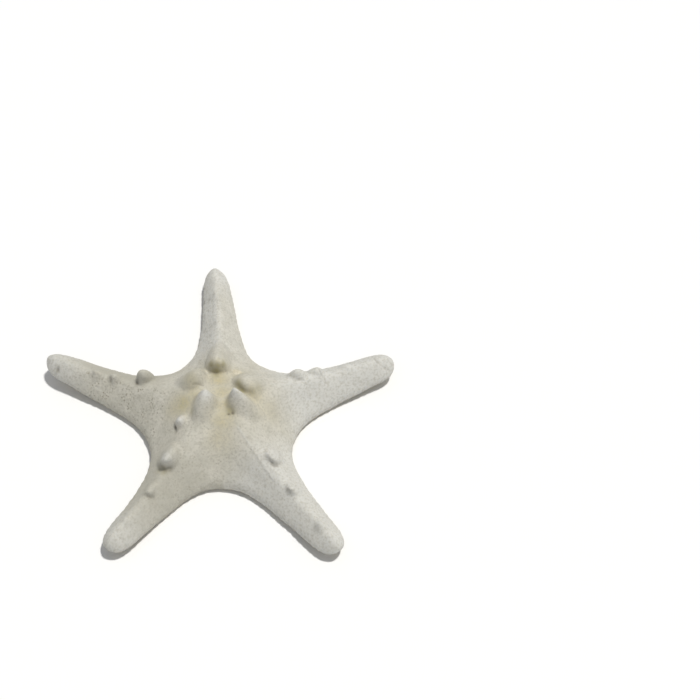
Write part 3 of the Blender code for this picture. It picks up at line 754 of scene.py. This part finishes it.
def skinMarks(places, normals, knobs):
    # Values that the materials and the grains read, one for each point
    sector, s, t, reach = armPlaces(places)
    height, towardsTip = places[:, 2], reach - s
    high = smoothStep(normals[:, 2], *stains["back"]) * (height > 4)
    down = smoothStep(-normals[:, 2], *stains["underside"])
    ochre, tissueAndPaintedShade, crackAndPaintedShadow, paleLine, knob, paintedLightAndShade, lift = (np.zeros(len(places)) for _ in range(7))
    for x, y, radius, strength in stains["valley"]:
        ochre = np.maximum(ochre, strength * bell(np.hypot(places[:, 0] - x, places[:, 1] - y), radius))
    # Cracks and folds, with the painted shadows among them
    for points, width, _, dark, pale in wrinkles:
        near = bell(offLine(places, points), width) * high
        crackAndPaintedShadow, paleLine = np.maximum(crackAndPaintedShadow, dark * near), np.maximum(paleLine, pale * near)
    # Hollows beside the knobs: olive as painted shade over the tissue's tint, grey as painted shadow
    for x, y, z, radius, _, dark in hollows:
        near = dark * bell(np.linalg.norm(places - (x, y, z), axis=1), radius)
        tissueAndPaintedShade, crackAndPaintedShadow = np.maximum(tissueAndPaintedShade, near), np.maximum(crackAndPaintedShadow, -near)
    # Olive tint of the dried tissue, with painted shade on the shaded faces of the crown knobs
    for x, y, z, radius, strength in stains["tissueAndPaintedShade"]:
        tissueAndPaintedShade = np.maximum(tissueAndPaintedShade, strength * bell(np.linalg.norm(places - (x, y, z), axis=1), radius))
    # Pits, with painted knob shadows on the left arm
    for pit in pits:
        crackAndPaintedShadow = np.maximum(crackAndPaintedShadow, pit[5] * bell(offPit(sector, s, t, pit), pit[3]) * high)
    tips = smoothStep(towardsTip, *stains["tipRun"]) * stains["tipWhite"]
    # Painted light and shade: lighter on the right, front right and back arms, most on the back arm's left
    # half, and darker on the left and front left arms
    for name, (left, right) in stains["paintedLightByArm"].items():
        own = onArms(sector, name)
        across = right + (left - right) * smoothStep(t, *stains["paintedLightSides"])
        paintedLightAndShade += own * smoothStep(s, *stains["paintedLightStart"]) * across
        lift[own] = floorLift(arms[name], s[own])
    for row in knobs:
        radius = np.dot(stains["knobWhite"], (row["height"], row["right"]))
        near = bell(np.linalg.norm(places - row["tip"], axis=1), radius)
        knob = np.maximum(knob, near * row["white"])
    # White of the tips and knobs, together with the painted light of the lighter arms
    whitenessAndPaintedLight = np.maximum.reduce([tips, knob, paleLine, paintedLightAndShade])
    # Pores lie thickest on the worn parts and on the sides of the arms that face the front
    frontFacing = smoothStep(0.1 - 2.2 * normals[:, 1])
    pores = stains["poresBase"] + stains["poresFront"] * frontFacing
    pores += stains["poresWorn"] * wornPart(sector, s, t, reach)
    pores *= high * (1 - stains["poresLostInWhite"] * whitenessAndPaintedLight) * (1 - stains["poresLostInOchre"] * ochre)
    pores *= 1 - stains["poresLostOnRight"] * onArms(sector, "right")
    narrowing = risingFrom(0.3, smoothStep(towardsTip, *stains["grooveNarrows"]))
    grooveEdge = (body["grooveHalf"] + stains["grooveWider"]) * narrowing
    inGroove = (np.abs(t) < grooveEdge) * (normals[:, 2] < 0.5) * (s > 5) * (towardsTip > 3)
    groove = inGroove * (height < lift + body["grooveDepth"] + 0.4)
    mouth = bell(np.hypot(places[:, 0], places[:, 1]), stains["mouthRadius"]) * (height < stains["mouthTop"])
    return {
        "ochre": ochre * high * (1 - stains["knobsClean"] * knob),
        "tissueAndPaintedShade": np.minimum(tissueAndPaintedShade, 1),
        "crackAndPaintedShadow": np.minimum(crackAndPaintedShadow, 1),
        "whitenessAndPaintedLight": whitenessAndPaintedLight * (1 - down),
        # Painted shade on the darker arms, less where they are white and none on the underside
        "paintedShade": np.maximum(0, -paintedLightAndShade) * (1 - 0.8 * whitenessAndPaintedLight) * (1 - down),
        "pores": pores,
        "hollow": np.maximum(groove.astype(float), mouth),
        "under": down,
        "grain": np.clip((1 - 0.9 * whitenessAndPaintedLight) * (1 - down) * (1 - groove), 0, 1),
        "coarseGrain": np.clip(down * (1 - groove) * (1 - mouth), 0, 1),
    }, sector


unwrapScale = 0.0031  # of the unwrap for each millimetre


def addMarks(mesh, marks, sector):
    for name, values in marks.items():
        addLayer(mesh, name, values)
    # Each face belongs to one sector, that of its first corner, so no grain is set twice
    corners = np.empty(len(mesh.loops), dtype=np.int32)
    mesh.loops.foreach_get("vertex_index", corners)
    starts = np.empty(len(mesh.polygons), dtype=np.int32)
    mesh.polygons.foreach_get("loop_start", starts)
    addLayer(mesh, "sector", sector[corners[starts]], "INT", "FACE")
    # Where each point lies on an unwrap of the skin: the back on the left, the underside on the right
    places = readPlaces(mesh)
    half = np.where(marks["under"] > 0.5, 0.75, 0.25)
    flat = np.column_stack((half + places[:, 0] * unwrapScale, 0.5 + places[:, 1] * unwrapScale, 0 * half))
    addLayer(mesh, "skinPlace", flat, "FLOAT_VECTOR")


def surfaceTree(mesh):
    bm = bmesh.new()
    bm.from_mesh(mesh)
    tree = BVHTree.FromBMesh(bm)
    bm.free()
    return tree


def remeshed(piece, size):
    rule = piece.modifiers.new("Remesh", "REMESH")
    rule.mode = "VOXEL"
    rule.voxel_size = size * mm
    rule.adaptivity = 0.0
    return applied(piece)


def thinnedBelow(piece):
    # Fewer points on the underside, where grains cover the skin
    below = np.flatnonzero(readNormals(piece.data)[:, 2] < -0.4)
    group = piece.vertex_groups.new(name="below")
    group.add(below.tolist(), 1.0, "REPLACE")
    rule = piece.modifiers.new("Decimate", "DECIMATE")
    rule.vertex_group = "below"
    rule.ratio = skin["kept"]
    applied(piece)
    piece.vertex_groups.clear()
    return piece


def makeSkin(material):
    piece = smoothBody()
    piece.name = "skin"
    knobs = allKnobs(surfaceTree(piece.data))
    remeshed(piece, skin["voxel"])
    writePlaces(piece.data, raiseKnobs(readPlaces(piece.data), readNormals(piece.data), knobs))
    remeshed(piece, skin["voxel"])
    mesh = piece.data
    writePlaces(mesh, soften(readPlaces(mesh), meshEdges(mesh), skin["softening"]))
    mesh = thinnedBelow(piece).data
    places = skinRelief(readPlaces(mesh), readNormals(mesh))
    places[:, 2] = np.maximum(places[:, 2], skin["restHeight"])
    writePlaces(mesh, insideCad(places))
    marks, sector = skinMarks(insideCad(places), readNormals(mesh), knobs)
    addMarks(mesh, marks, sector)
    mesh.shade_smooth()
    mesh.materials.append(material)
    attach(piece, "root")
    nodes = [f"{kind}_{name}" for name in armNodes.values() for kind in ("arm", "tip")]
    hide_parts("disc", *nodes)
    mesh.calc_loop_triangles()
    print("skin", len(mesh.loop_triangles), "triangles")
    return piece


# Materials

calciteLook = {
    # The olive, crack and darker arm tones lay painted shade and shadow; the white tone also lays painted
    # light on some arms
    "cream": "#cbc7b9", "pale": "#d4d0c5", "grey": "#b9b6aa", "ochre": "#c2b896", "tissueAndPaintedShade": "#9d9468",
    "crackAndPaintedShadow": "#574d3c", "white": "#d0cfc9", "paintedShade": "#b2afa2", "under": "#c6bca2", "hollow": "#8f7b55",
    "pore": "#979080", "speck": "#aaa698",
    # Patterns: size in millimetres, detail, the noise values at its two ends, and what they give
    "patterns": {"mottle": (5.0, 4.0, 0.35, 0.68, 0.0, 1.0), "edge": (2.5, 3.0, 0.3, 0.7, 0.6, 1.0),
                 "speck": (0.9, 2.0, 0.45, 0.75, 0.0, 0.6), "poreField": (3.0, 2.0, 0.42, 0.6, 0.0, 1.0)},
    "poreSize": 1.0, "poreEdge": (0.12, 0.46), "bumpSize": 0.45, "bump": 0.5, "bumpDepth": 0.00012,
    "shader": {"Roughness": 0.85, "Specular IOR Level": 0.3, "Subsurface Weight": 0.12,
               "Subsurface Radius": (1.0, 0.85, 0.65), "Subsurface Scale": 0.0012},
}


def bleachedCalcite():
    # Dried skin over a calcite skeleton, bleached: chalky, matte, slightly translucent
    look = calciteLook
    material, tree, shader = newMaterial("bleachedCalcite", look["shader"])
    where = addNode(tree, "ShaderNodeTexCoord").outputs["Object"]
    marks, patterns = {}, {}
    for name in ("under", "ochre", "whitenessAndPaintedLight", "paintedShade", "tissueAndPaintedShade", "crackAndPaintedShadow", "hollow", "pores"):
        marks[name] = addNode(tree, "ShaderNodeAttribute", attribute_name=name).outputs["Fac"]
    for name, (size, detail, low, high, least, most) in look["patterns"].items():
        spots = addNode(tree, "ShaderNodeTexNoise", {
            "Vector": where, "Scale": 1 / (size * mm), "Detail": detail,
        })
        patterns[name] = addNode(tree, "ShaderNodeMapRange", {
            "Value": spots, "From Min": low, "From Max": high, "To Min": least, "To Max": most,
        })

    # Pores: dark points about 0.3 mm wide, drawn a little larger than the real ones, in loose fields
    cells = addNode(tree, "ShaderNodeTexVoronoi", {"Vector": where, "Scale": 1 / (look["poreSize"] * mm)},
                    feature="F1")
    dots = addNode(tree, "ShaderNodeMapRange", {
        "Value": cells.outputs["Distance"], "From Min": look["poreEdge"][0], "From Max": look["poreEdge"][1],
        "To Min": 1.0, "To Max": 0.0,
    })
    pore = dots
    for factor in (patterns["poreField"], marks["pores"]):
        pore = addNode(tree, "ShaderNodeMath", {0: pore, 1: factor}, operation="MULTIPLY")
    ochre = addNode(tree, "ShaderNodeMath", {0: marks["ochre"], 1: patterns["edge"]}, operation="MULTIPLY")

    colour = linearColour(look["grey"])
    # Layers in order: the olive, crack and darker arm layers carry painted shade and shadow, the white layer
    # also painted light
    for factor, tone in (
        (patterns["mottle"], "pale"), (0.5, "cream"), (marks["under"], "under"), (ochre, "ochre"),
        (marks["whitenessAndPaintedLight"], "white"), (marks["paintedShade"], "paintedShade"), (marks["tissueAndPaintedShade"], "tissueAndPaintedShade"),
        (marks["crackAndPaintedShadow"], "crackAndPaintedShadow"), (patterns["speck"], "speck"), (marks["hollow"], "hollow"), (pore, "pore"),
    ):
        layer = {0: factor, 6: colour, 7: linearColour(look[tone])}
        colour = addNode(tree, "ShaderNodeMix", layer, data_type="RGBA").outputs[2]
    tree.links.new(colour, shader.inputs["Base Color"])

    fine = addNode(tree, "ShaderNodeTexNoise", {
        "Vector": where, "Scale": 1 / (look["bumpSize"] * mm), "Detail": 3.0, "Roughness": 0.6,
    })
    relief = addNode(tree, "ShaderNodeMath", {0: fine, 1: pore}, operation="SUBTRACT")
    bumped = {"Height": relief, "Strength": look["bump"], "Distance": look["bumpDepth"]}
    bump = addNode(tree, "ShaderNodeBump", bumped)
    tree.links.new(bump.outputs[0], shader.inputs["Normal"])
    return material


# Growths: what repeats is set on the skin, or on loose points, by Geometry Nodes


def newTree(name, sizes):
    # A tree with a geometry input, the named inputs after it, and a geometry output
    tree = bpy.data.node_groups.new(name, "GeometryNodeTree")
    for label, kind in {"Geometry": "Geometry", **sizes}.items():
        tree.interface.new_socket(name=label, in_out="INPUT", socket_type=f"NodeSocket{kind}")
    tree.interface.new_socket(name="Geometry", in_out="OUTPUT", socket_type="NodeSocketGeometry")
    return tree, addNode(tree, "NodeGroupInput").outputs


def finished(tree, given, geometry):
    # The end of a tree: smooth shading, its material, its output
    smooth = addNode(tree, "GeometryNodeSetShadeSmooth", {"Geometry": geometry})
    result = addNode(tree, "GeometryNodeSetMaterial", {"Geometry": smooth, "Material": given["Material"]})
    addNode(tree, "NodeGroupOutput", {0: result})
    return tree


def grown(name, mesh, tree, values):
    # What the tree makes of a mesh, as a plain object
    piece = newObject(name, mesh)
    modifier = piece.modifiers.new("Growth", "NODES")
    modifier.node_group = tree
    for item in tree.interface.items_tree:
        if item.in_out == "INPUT" and item.name in values:
            modifier[item.identifier] = values[item.name]
    result = plainMesh(piece)
    piece.modifiers.clear()
    piece.data = result
    result.name = name
    return piece


grains = {
    "fine": {"Amount": "grain", "Spacing": 0.00047, "Width": 0.00021, "Height": 0.00010, "Seed": 3},
    "coarse": {"Amount": "coarseGrain", "Spacing": 0.00074, "Width": 0.00037, "Height": 0.00022, "Seed": 5},
}
grainRules = {
    "least": 0.15,  # of the amount, where grains begin
    "crowding": 1.8,  # tries for each square of the spacing
    "smallest": 0.7, "largest": 1.15,
    "lowest": 0.02 * mm,  # over the floor
    "patch": 0.0015,  # half-width of a grain's patch on the unwrap
}


def grainTree():
    tree, given = newTree("grains", {
        "Amount": "String", "Sector": "Int", "Spacing": "Float", "Width": "Float", "Height": "Float",
        "Seed": "Int", "Material": "Material",
    })
    read = {}
    for label, source, kind in (
        ("sector", "sector", "INT"), ("amount", given["Amount"], "FLOAT"),
        ("local", "grainLocal", "FLOAT_VECTOR"), ("skinPlace", "skinPlace", "FLOAT_VECTOR"),
    ):
        node = addNode(tree, "GeometryNodeInputNamedAttribute", {"Name": source}, data_type=kind)
        read[label] = node.outputs["Attribute"]
    here = addNode(tree, "FunctionNodeCompare", {2: read["sector"], 3: given["Sector"]},
                   data_type="INT", operation="EQUAL")
    some = addNode(tree, "FunctionNodeCompare", {0: read["amount"], 1: grainRules["least"]},
                   data_type="FLOAT", operation="GREATER_THAN")
    chosen = addNode(tree, "FunctionNodeBooleanMath", {0: here, 1: some}, operation="AND")
    square = addNode(tree, "ShaderNodeMath", {0: given["Spacing"], 1: given["Spacing"]}, operation="MULTIPLY")
    thick = addNode(tree, "ShaderNodeMath", {0: grainRules["crowding"], 1: square}, operation="DIVIDE")
    spread = addNode(tree, "GeometryNodeDistributePointsOnFaces", {
        "Mesh": given["Geometry"], "Selection": chosen, "Distance Min": given["Spacing"],
        "Density Max": thick, "Density Factor": read["amount"], "Seed": given["Seed"],
    }, distribute_method="POISSON")
    ball = addNode(tree, "GeometryNodeMeshIcoSphere", {"Radius": 1.0, "Subdivisions": 1})
    place = addNode(tree, "GeometryNodeInputPosition")
    ball = addNode(tree, "GeometryNodeStoreNamedAttribute", {
        "Geometry": ball.outputs["Mesh"], "Name": "grainLocal", "Value": place,
    }, data_type="FLOAT_VECTOR", domain="POINT")
    varied = addNode(tree, "FunctionNodeRandomValue", {
        2: grainRules["smallest"], 3: grainRules["largest"], "Seed": given["Seed"],
    }, data_type="FLOAT")
    wide, tall = (
        addNode(tree, "ShaderNodeMath", {0: varied.outputs[1], 1: given[side]}, operation="MULTIPLY")
        for side in ("Width", "Height")
    )
    size = addNode(tree, "ShaderNodeCombineXYZ", {0: wide, 1: wide, 2: tall})
    turn = addNode(tree, "FunctionNodeRandomValue", {2: 0.0, 3: 6.283, "Seed": 1}, data_type="FLOAT")
    spin = addNode(tree, "ShaderNodeCombineXYZ", {2: turn.outputs[1]})
    spin = addNode(tree, "FunctionNodeEulerToRotation", {0: spin})
    stand = addNode(tree, "FunctionNodeRotateRotation", {0: spread.outputs["Rotation"], 1: spin},
                    rotation_space="LOCAL")
    each = addNode(tree, "GeometryNodeInstanceOnPoints", {
        "Points": spread.outputs["Points"], "Instance": ball, "Rotation": stand, "Scale": size,
    })
    real = addNode(tree, "GeometryNodeRealizeInstances", {"Geometry": each})
    above = addNode(tree, "ShaderNodeVectorMath", {0: place, 1: (-1.0, -1.0, grainRules["lowest"])},
                    operation="MAXIMUM")
    real = addNode(tree, "GeometryNodeSetPosition", {"Geometry": real, "Position": above})
    patch = addNode(tree, "ShaderNodeVectorMath", {
        0: read["local"], 1: (grainRules["patch"],) * 3, 2: read["skinPlace"],
    }, operation="MULTIPLY_ADD")
    result = addNode(tree, "GeometryNodeStoreNamedAttribute", {
        "Geometry": real, "Name": "OFBake", "Value": patch,
    }, data_type="FLOAT2", domain="CORNER")
    for helper in ("grainLocal", "skinPlace", "sector", "grain", "coarseGrain"):
        result = addNode(tree, "GeometryNodeRemoveAttribute", {"Geometry": result, "Name": helper})
    return finished(tree, given, result)


def makeGrains(star, material):
    # The skin's grains, as one piece for each arm and its share of the disc, back and underside
    tree = grainTree()
    for kind, sizes in grains.items():
        for k, name in enumerate(arms):
            values = {**sizes, "Sector": k, "Material": material}
            piece = grown(f"{kind}Grains_{name}", star.data, tree, values)
            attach(piece, "root")
            print(piece.name, len(piece.data.polygons), "faces")


def placedTree():
    # One shape on each point, its foot there, turned and sized by the point's own values
    tree, given = newTree("placed", {"Shape": "Object", "Material": "Material"})
    shape = addNode(tree, "GeometryNodeObjectInfo", {"Object": given["Shape"]})
    aim, size = (
        addNode(tree, "GeometryNodeInputNamedAttribute", {"Name": label}, data_type="FLOAT_VECTOR")
        for label in ("aim", "size")
    )
    stand = addNode(tree, "FunctionNodeAlignRotationToVector", {"Vector": aim.outputs["Attribute"]}, axis="Z")
    each = addNode(tree, "GeometryNodeInstanceOnPoints", {
        "Points": given["Geometry"], "Instance": shape.outputs["Geometry"],
        "Rotation": stand, "Scale": size.outputs["Attribute"],
    })
    real = addNode(tree, "GeometryNodeRealizeInstances", {"Geometry": each})
    return finished(tree, given, real)


def placedShapes(name, shape, rows, material, tree):
    # Rows of (place, aim, size), with places and sizes in millimetres
    mesh = meshFrom(name, [place for place, _, _ in rows], [])
    for label, column, scale in (("aim", 1, 1.0), ("size", 2, mm)):
        values = np.array([row[column] for row in rows], dtype=np.float32) * scale
        addLayer(mesh, label, values, "FLOAT_VECTOR")
    return grown(name, mesh, tree, {"Shape": shape, "Material": material})


def turnedShape(name, profile, sides):
    # A unit shape turned about Z, from (radius, height) pairs
    turns = [2 * math.pi * i / sides for i in range(sides)]
    points = [(r * math.cos(turn), r * math.sin(turn), z) for r, z in profile[1:-1] for turn in turns]
    points += [(0, 0, profile[0][1]), (0, 0, profile[-1][1])]
    mesh = bpy.data.meshes.new(name)
    mesh.from_pydata(points, [], turnedFaces(sides, len(profile) - 2))
    return newObject(name, mesh)


# Spines beside the grooves and the dried tube feet inside them

furrow = {
    # lengths, widths and heights say how much each one varies; the rest is in millimetres or shares
    "inner": {"first": 7.4, "last": 3.2, "spacing": 0.62, "smallest": 0.55, "fade": 30, "closest": 0.75,
              "length": 1.75, "width": 0.24, "inset": 0.45, "height": 0.95, "ahead": (-0.1, 0.35),
              "lengths": (0.85, 1.12), "widths": (0.9, 1.1), "heights": (0.9, 1.1)},
    "feet": {"first": 8.9, "last": 7.2, "spacing": 1.4, "smallest": 0.5, "fade": 34, "closest": 0.7,
             "length": 1.35, "width": 0.5, "aside": 0.72, "root": 2.1, "lean": (0.1, 0.45),
             "lengths": (0.75, 1.1), "widths": (0.8, 1.1)},
    "seed": 21,
}
furrow["outer"] = {**furrow["inner"], "spacing": 1.55, "length": 1.5, "width": 0.42, "inset": 1.75,
                   "height": 0.63, "ahead": (0.1, 0.6)}
spineProfile = ((0, 0), (0.8, 0), (1.0, 0.12), (0.86, 0.45), (0.66, 0.75), (0.42, 0.93), (0, 1.0))
stubProfile = ((0, 0), (0.85, 0), (1.0, 0.25), (0.96, 0.6), (0.7, 0.88), (0, 1.0))
tubeFootProfile = ((0, 0), (0.5, 0), (0.42, 0.3), (0.5, 0.6), (0.62, 0.78), (1.0, 0.88), (0.9, 1.0),
                   (0.4, 0.96), (0, 0.92))


def alongGroove(arm, kind):
    # Both sides of a groove: the side, how far out, and a size, smaller and closer towards the tip
    for side in (-1, 1):
        s = kind["first"] + (0 if side > 0 else kind["spacing"] / 2)
        while s < arm["reach"] - kind["last"]:
            small = risingFrom(kind["smallest"], float(smoothStep(arm["reach"] - s, 0, kind["fade"])))
            yield side, s, small
            s += kind["spacing"] * risingFrom(kind["closest"], small)


def lipRows(arm, draw, kind):
    # The spines of both lips lie over the groove, a little towards the tip of the arm
    rows = []
    for side, s, small in alongGroove(arm, kind):
        lift = float(floorLift(arm, s))
        slope = float(floorLift(arm, s + 1)) - lift
        aside = side * (body["grooveHalf"] + kind["inset"]) * risingFrom(0.6, small)
        foot = middleLine(arm, s) + polar(arm["heading"] + 90, aside)
        out = draw.uniform(*kind["ahead"])
        flat = polar(arm["heading"] - 90, side) + polar(arm["heading"], out)
        aim = (*flat, slope * out + draw.uniform(-0.16, 0.02))
        long = kind["length"] * small * draw.uniform(*kind["lengths"])
        thick = kind["width"] * small * draw.uniform(*kind["widths"])
        height = lift + kind["height"] * draw.uniform(*kind["heights"])
        rows.append(((*foot, height), aim, (thick, thick, long)))
    return rows


def tubeFootRows(arm, draw, kind):
    rows = []
    for side, s, small in alongGroove(arm, kind):
        foot = middleLine(arm, s) + polar(arm["heading"] + 90, side * kind["aside"] * small)
        root = float(floorLift(arm, s)) + kind["root"] * risingFrom(0.62, small)
        lean = polar(draw.uniform(0, 360), draw.uniform(*kind["lean"]))
        thick = kind["width"] * small * draw.uniform(*kind["widths"])
        long = kind["length"] * small * draw.uniform(*kind["lengths"])
        rows.append(((*foot, root), (*lean, -1.0), (thick, thick, long)))
    return rows


def makeFurrows(tree, spineMaterial, footMaterial):
    spine, stub = turnedShape("spineShape", spineProfile, 8), turnedShape("stubShape", stubProfile, 8)
    tube = turnedShape("tubeFootShape", tubeFootProfile, 9)
    for name, arm in arms.items():
        draw = random.Random(furrow["seed"] + round(arm["heading"]))
        for kind, shape, rows, material in (
            ("furrowSpines", spine, lipRows(arm, draw, furrow["inner"]), spineMaterial),
            ("outerSpines", stub, lipRows(arm, draw, furrow["outer"]), spineMaterial),
            ("tubeFeet", tube, tubeFootRows(arm, draw, furrow["feet"]), footMaterial),
        ):
            piece = placedShapes(f"{kind}_{name}", shape, rows, material, tree)
            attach(piece, "root")
    for shape in (spine, stub, tube):
        bpy.data.objects.remove(shape)
    print("furrows made")


# Jaws round the mouth

jaw = {
    "inner": 2.3, "length": 4.9, "bottom": 0.25, "height": 2.5, "innerWidth": 1.3, "outerWidth": 3.3,
    "suture": 0.22, "sutureWidth": 0.22, "squareness": 0.62, "rings": 22, "segments": 40,
    "teeth": 7, "toothFan": 78.0, "toothLength": 1.5, "toothWidth": 0.3, "toothHeight": 1.0,
    "toothInset": 0.35, "toothBow": 0.25, "toothAside": 0.5,
    "sideSpines": 6, "sideLength": 1.15, "sideWidth": 0.26, "sideHeight": 0.75, "sideInset": 0.25,
    "droop": (-0.3, 0.0), "seed": 31,
}
jawNodes = {"backRight": "jaw_back_right", "backLeft": "jaw_back_left", "sideLeft": "jaw_side_left",
            "front": "jaw_front", "sideRight": "jaw_side_right"}


def squared(x):
    # A sine or cosine drawn out to a squarer curve
    return math.copysign(abs(x) ** jaw["squareness"], x)


def jawWidth(share):
    return jaw["innerWidth"] + (jaw["outerWidth"] - jaw["innerWidth"]) * share


def jawMesh(name, heading):
    # A squarish wedge with a suture along its underside
    ahead, aside = polar(heading, 1), polar(heading + 90, 1)
    points, count, rings = [], jaw["segments"], jaw["rings"]
    middleZ = jaw["bottom"] + jaw["height"] / 2
    for ring in range(1, rings):
        turn = math.pi * ring / rings
        u, thin = 0.5 - 0.5 * squared(math.cos(turn)), squared(math.sin(turn))
        for i in range(count):
            angle = 2 * math.pi * i / count
            across = squared(math.cos(angle)) * 0.5 * jawWidth(u) * thin
            z = middleZ + squared(math.sin(angle)) * jaw["height"] / 2 * thin
            if math.sin(angle) < 0:
                z += jaw["suture"] * float(bell(across, jaw["sutureWidth"])) * thin
            points.append((*(ahead * (jaw["inner"] + jaw["length"] * u) + aside * across), z))
    points += [(*(ahead * jaw["inner"]), middleZ), (*(ahead * (jaw["inner"] + jaw["length"])), middleZ)]
    return cleaned(meshFrom(name, points, turnedFaces(count, rings - 1)))


def jawSpines(heading, draw):
    rows = []
    for i in range(jaw["teeth"]):
        share = 2 * i / (jaw["teeth"] - 1) - 1
        out = jaw["inner"] + jaw["toothInset"] + jaw["toothBow"] * share**2
        foot = polar(heading, out) + polar(heading + 90, -jaw["toothAside"] * share)
        aim = (*polar(heading + 180 + jaw["toothFan"] * 0.5 * share, 1), draw.uniform(*jaw["droop"]))
        long = jaw["toothLength"] * (1 - 0.25 * abs(share)) * draw.uniform(0.9, 1.05)
        size = (jaw["toothWidth"], jaw["toothWidth"], long)
        rows.append(((*foot, jaw["bottom"] + jaw["toothHeight"]), aim, size))
    for side in (-1, 1):
        for i in range(jaw["sideSpines"]):
            share = (i + 0.8) / jaw["sideSpines"]
            out = jaw["inner"] + jaw["length"] * share * 0.92
            half = 0.5 * jawWidth(share) - jaw["sideInset"]
            foot = polar(heading, out) + polar(heading + 90, side * half)
            aim = (*(polar(heading + 90, side) + polar(heading, -0.5)), draw.uniform(*jaw["droop"]))
            thick = jaw["sideWidth"] * draw.uniform(0.9, 1.1)
            long = jaw["sideLength"] * draw.uniform(0.85, 1.1)
            rows.append(((*foot, jaw["bottom"] + jaw["sideHeight"]), aim, (thick, thick, long)))
    return rows


def makeJaws(tree, material, spineMaterial):
    spine = turnedShape("toothShape", spineProfile, 10)
    for name, (heading, _) in notches.items():
        draw = random.Random(jaw["seed"] + round(heading))
        teeth = placedShapes(f"teeth_{name}", spine, jawSpines(heading, draw), spineMaterial, tree)
        block = newObject(f"jaw_{name}", jawMesh(f"jaw_{name}", heading))
        block.data.materials.append(material)
        block.data.shade_smooth()
        for piece in (block, teeth):
            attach(piece, "root")
        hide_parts(jawNodes[name])
    bpy.data.objects.remove(spine)
    print("jaws made")


# Sieve plate: a low button with winding grooves

sieve = {
    "heading": 62.0, "distance": 15.0, "radius": 1.95, "rise": 0.62, "sunk": 0.5, "squareness": 3.2,
    "rings": 26, "segments": 150, "uneven": 0.04,
    "grooves": 15, "depth": 0.14, "forkAt": 0.55, "wander": 0.9, "wanderSize": 2.2, "swirl": 1.5,
    "rimFade": (1, 0.88), "middleFade": (0, 0.25), "seed": 4,
}


def makeSieve(tree, material):
    hit, normal = fromAbove(tree, *polar(sieve["heading"], sieve["distance"]))
    points, count = [], sieve["segments"]
    for ring in range(1, sieve["rings"] + 1):
        share = ring / sieve["rings"]
        for i in range(count):
            angle = 2 * math.pi * i / count
            around = polar(360 * i / count, sieve["wanderSize"])
            wander = sieve["wander"] * noise.noise(Vector((*around, share * 3 + sieve["seed"])))
            fork = 2 if share > sieve["forkAt"] else 1
            groove = wave(sieve["grooves"] * fork * i / count + wander + sieve["swirl"] * share)
            cut = smoothStep(share, *sieve["rimFade"]) * smoothStep(share, *sieve["middleFade"])
            dome = sieve["rise"] * (1 - share ** sieve["squareness"])
            z = dome - sieve["depth"] * (1 - groove) * cut
            radius = sieve["radius"] * share * (1 + sieve["uneven"] * math.sin(3 * angle + 1))
            points.append((radius * math.cos(angle), radius * math.sin(angle), float(z)))
    points += [(x, y, -sieve["sunk"]) for x, y, _ in points[-count:]]
    points += [(0, 0, sieve["rise"]), (0, 0, -sieve["sunk"])]
    mesh = bpy.data.meshes.new("sievePlate")
    mesh.from_pydata([tuple(c * mm for c in p) for p in points], [], turnedFaces(count, sieve["rings"] + 1))
    mesh.transform(Matrix.Translation(hit) @ normal.to_track_quat("Z", "Y").to_matrix().to_4x4())
    piece = newObject("sievePlate", cleaned(mesh))
    mesh.materials.append(material)
    mesh.shade_smooth()
    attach(piece, "root")
    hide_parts("madreporite")
    print("sieve plate made")


def plainCalcite(name, first, second, patch, bumpSize, roughness):
    # Small hard parts: dense calcite, smoother than the skin, mottled from one tone to another
    material, tree, shader = newMaterial(name, {"Roughness": roughness, "Specular IOR Level": 0.35})
    where = addNode(tree, "ShaderNodeTexCoord").outputs["Object"]
    mottle = addNode(tree, "ShaderNodeTexNoise", {"Vector": where, "Scale": 1 / (patch * mm), "Detail": 3.0})
    share = addNode(tree, "ShaderNodeMapRange", {"Value": mottle, "From Min": 0.35, "From Max": 0.65})
    tones = {0: share, 6: linearColour(first), 7: linearColour(second)}
    colour = addNode(tree, "ShaderNodeMix", tones, data_type="RGBA")
    tree.links.new(colour.outputs[2], shader.inputs["Base Color"])
    fine = addNode(tree, "ShaderNodeTexNoise", {"Vector": where, "Scale": 1 / (bumpSize * mm), "Detail": 2.0})
    bump = addNode(tree, "ShaderNodeBump", {"Height": fine, "Strength": 0.4, "Distance": 0.00008})
    tree.links.new(bump.outputs[0], shader.inputs["Normal"])
    return material


makeStage()
calcite = bleachedCalcite()
star = makeSkin(calcite)
ivory = plainCalcite("spineCalcite", "#cbbf9f", "#ddd5bf", 1.2, 0.25, 0.6)  # dense, a little glossy
dried = plainCalcite("driedTubeFeet", "#9a7c4c", "#b89a66", 0.8, 0.2, 0.5)  # shrunken tissue, amber
jawCalcite = plainCalcite("jawCalcite", "#b8a57c", "#cdbf9e", 1.4, 0.3, 0.7)
sieveCalcite = plainCalcite("sieveCalcite", "#c0b79f", "#d6d0bf", 1.0, 0.25, 0.75)
makeGrains(star, calcite)
placed = placedTree()
makeFurrows(placed, ivory, dried)
makeJaws(placed, jawCalcite, ivory)
makeSieve(surfaceTree(star.data), sieveCalcite)
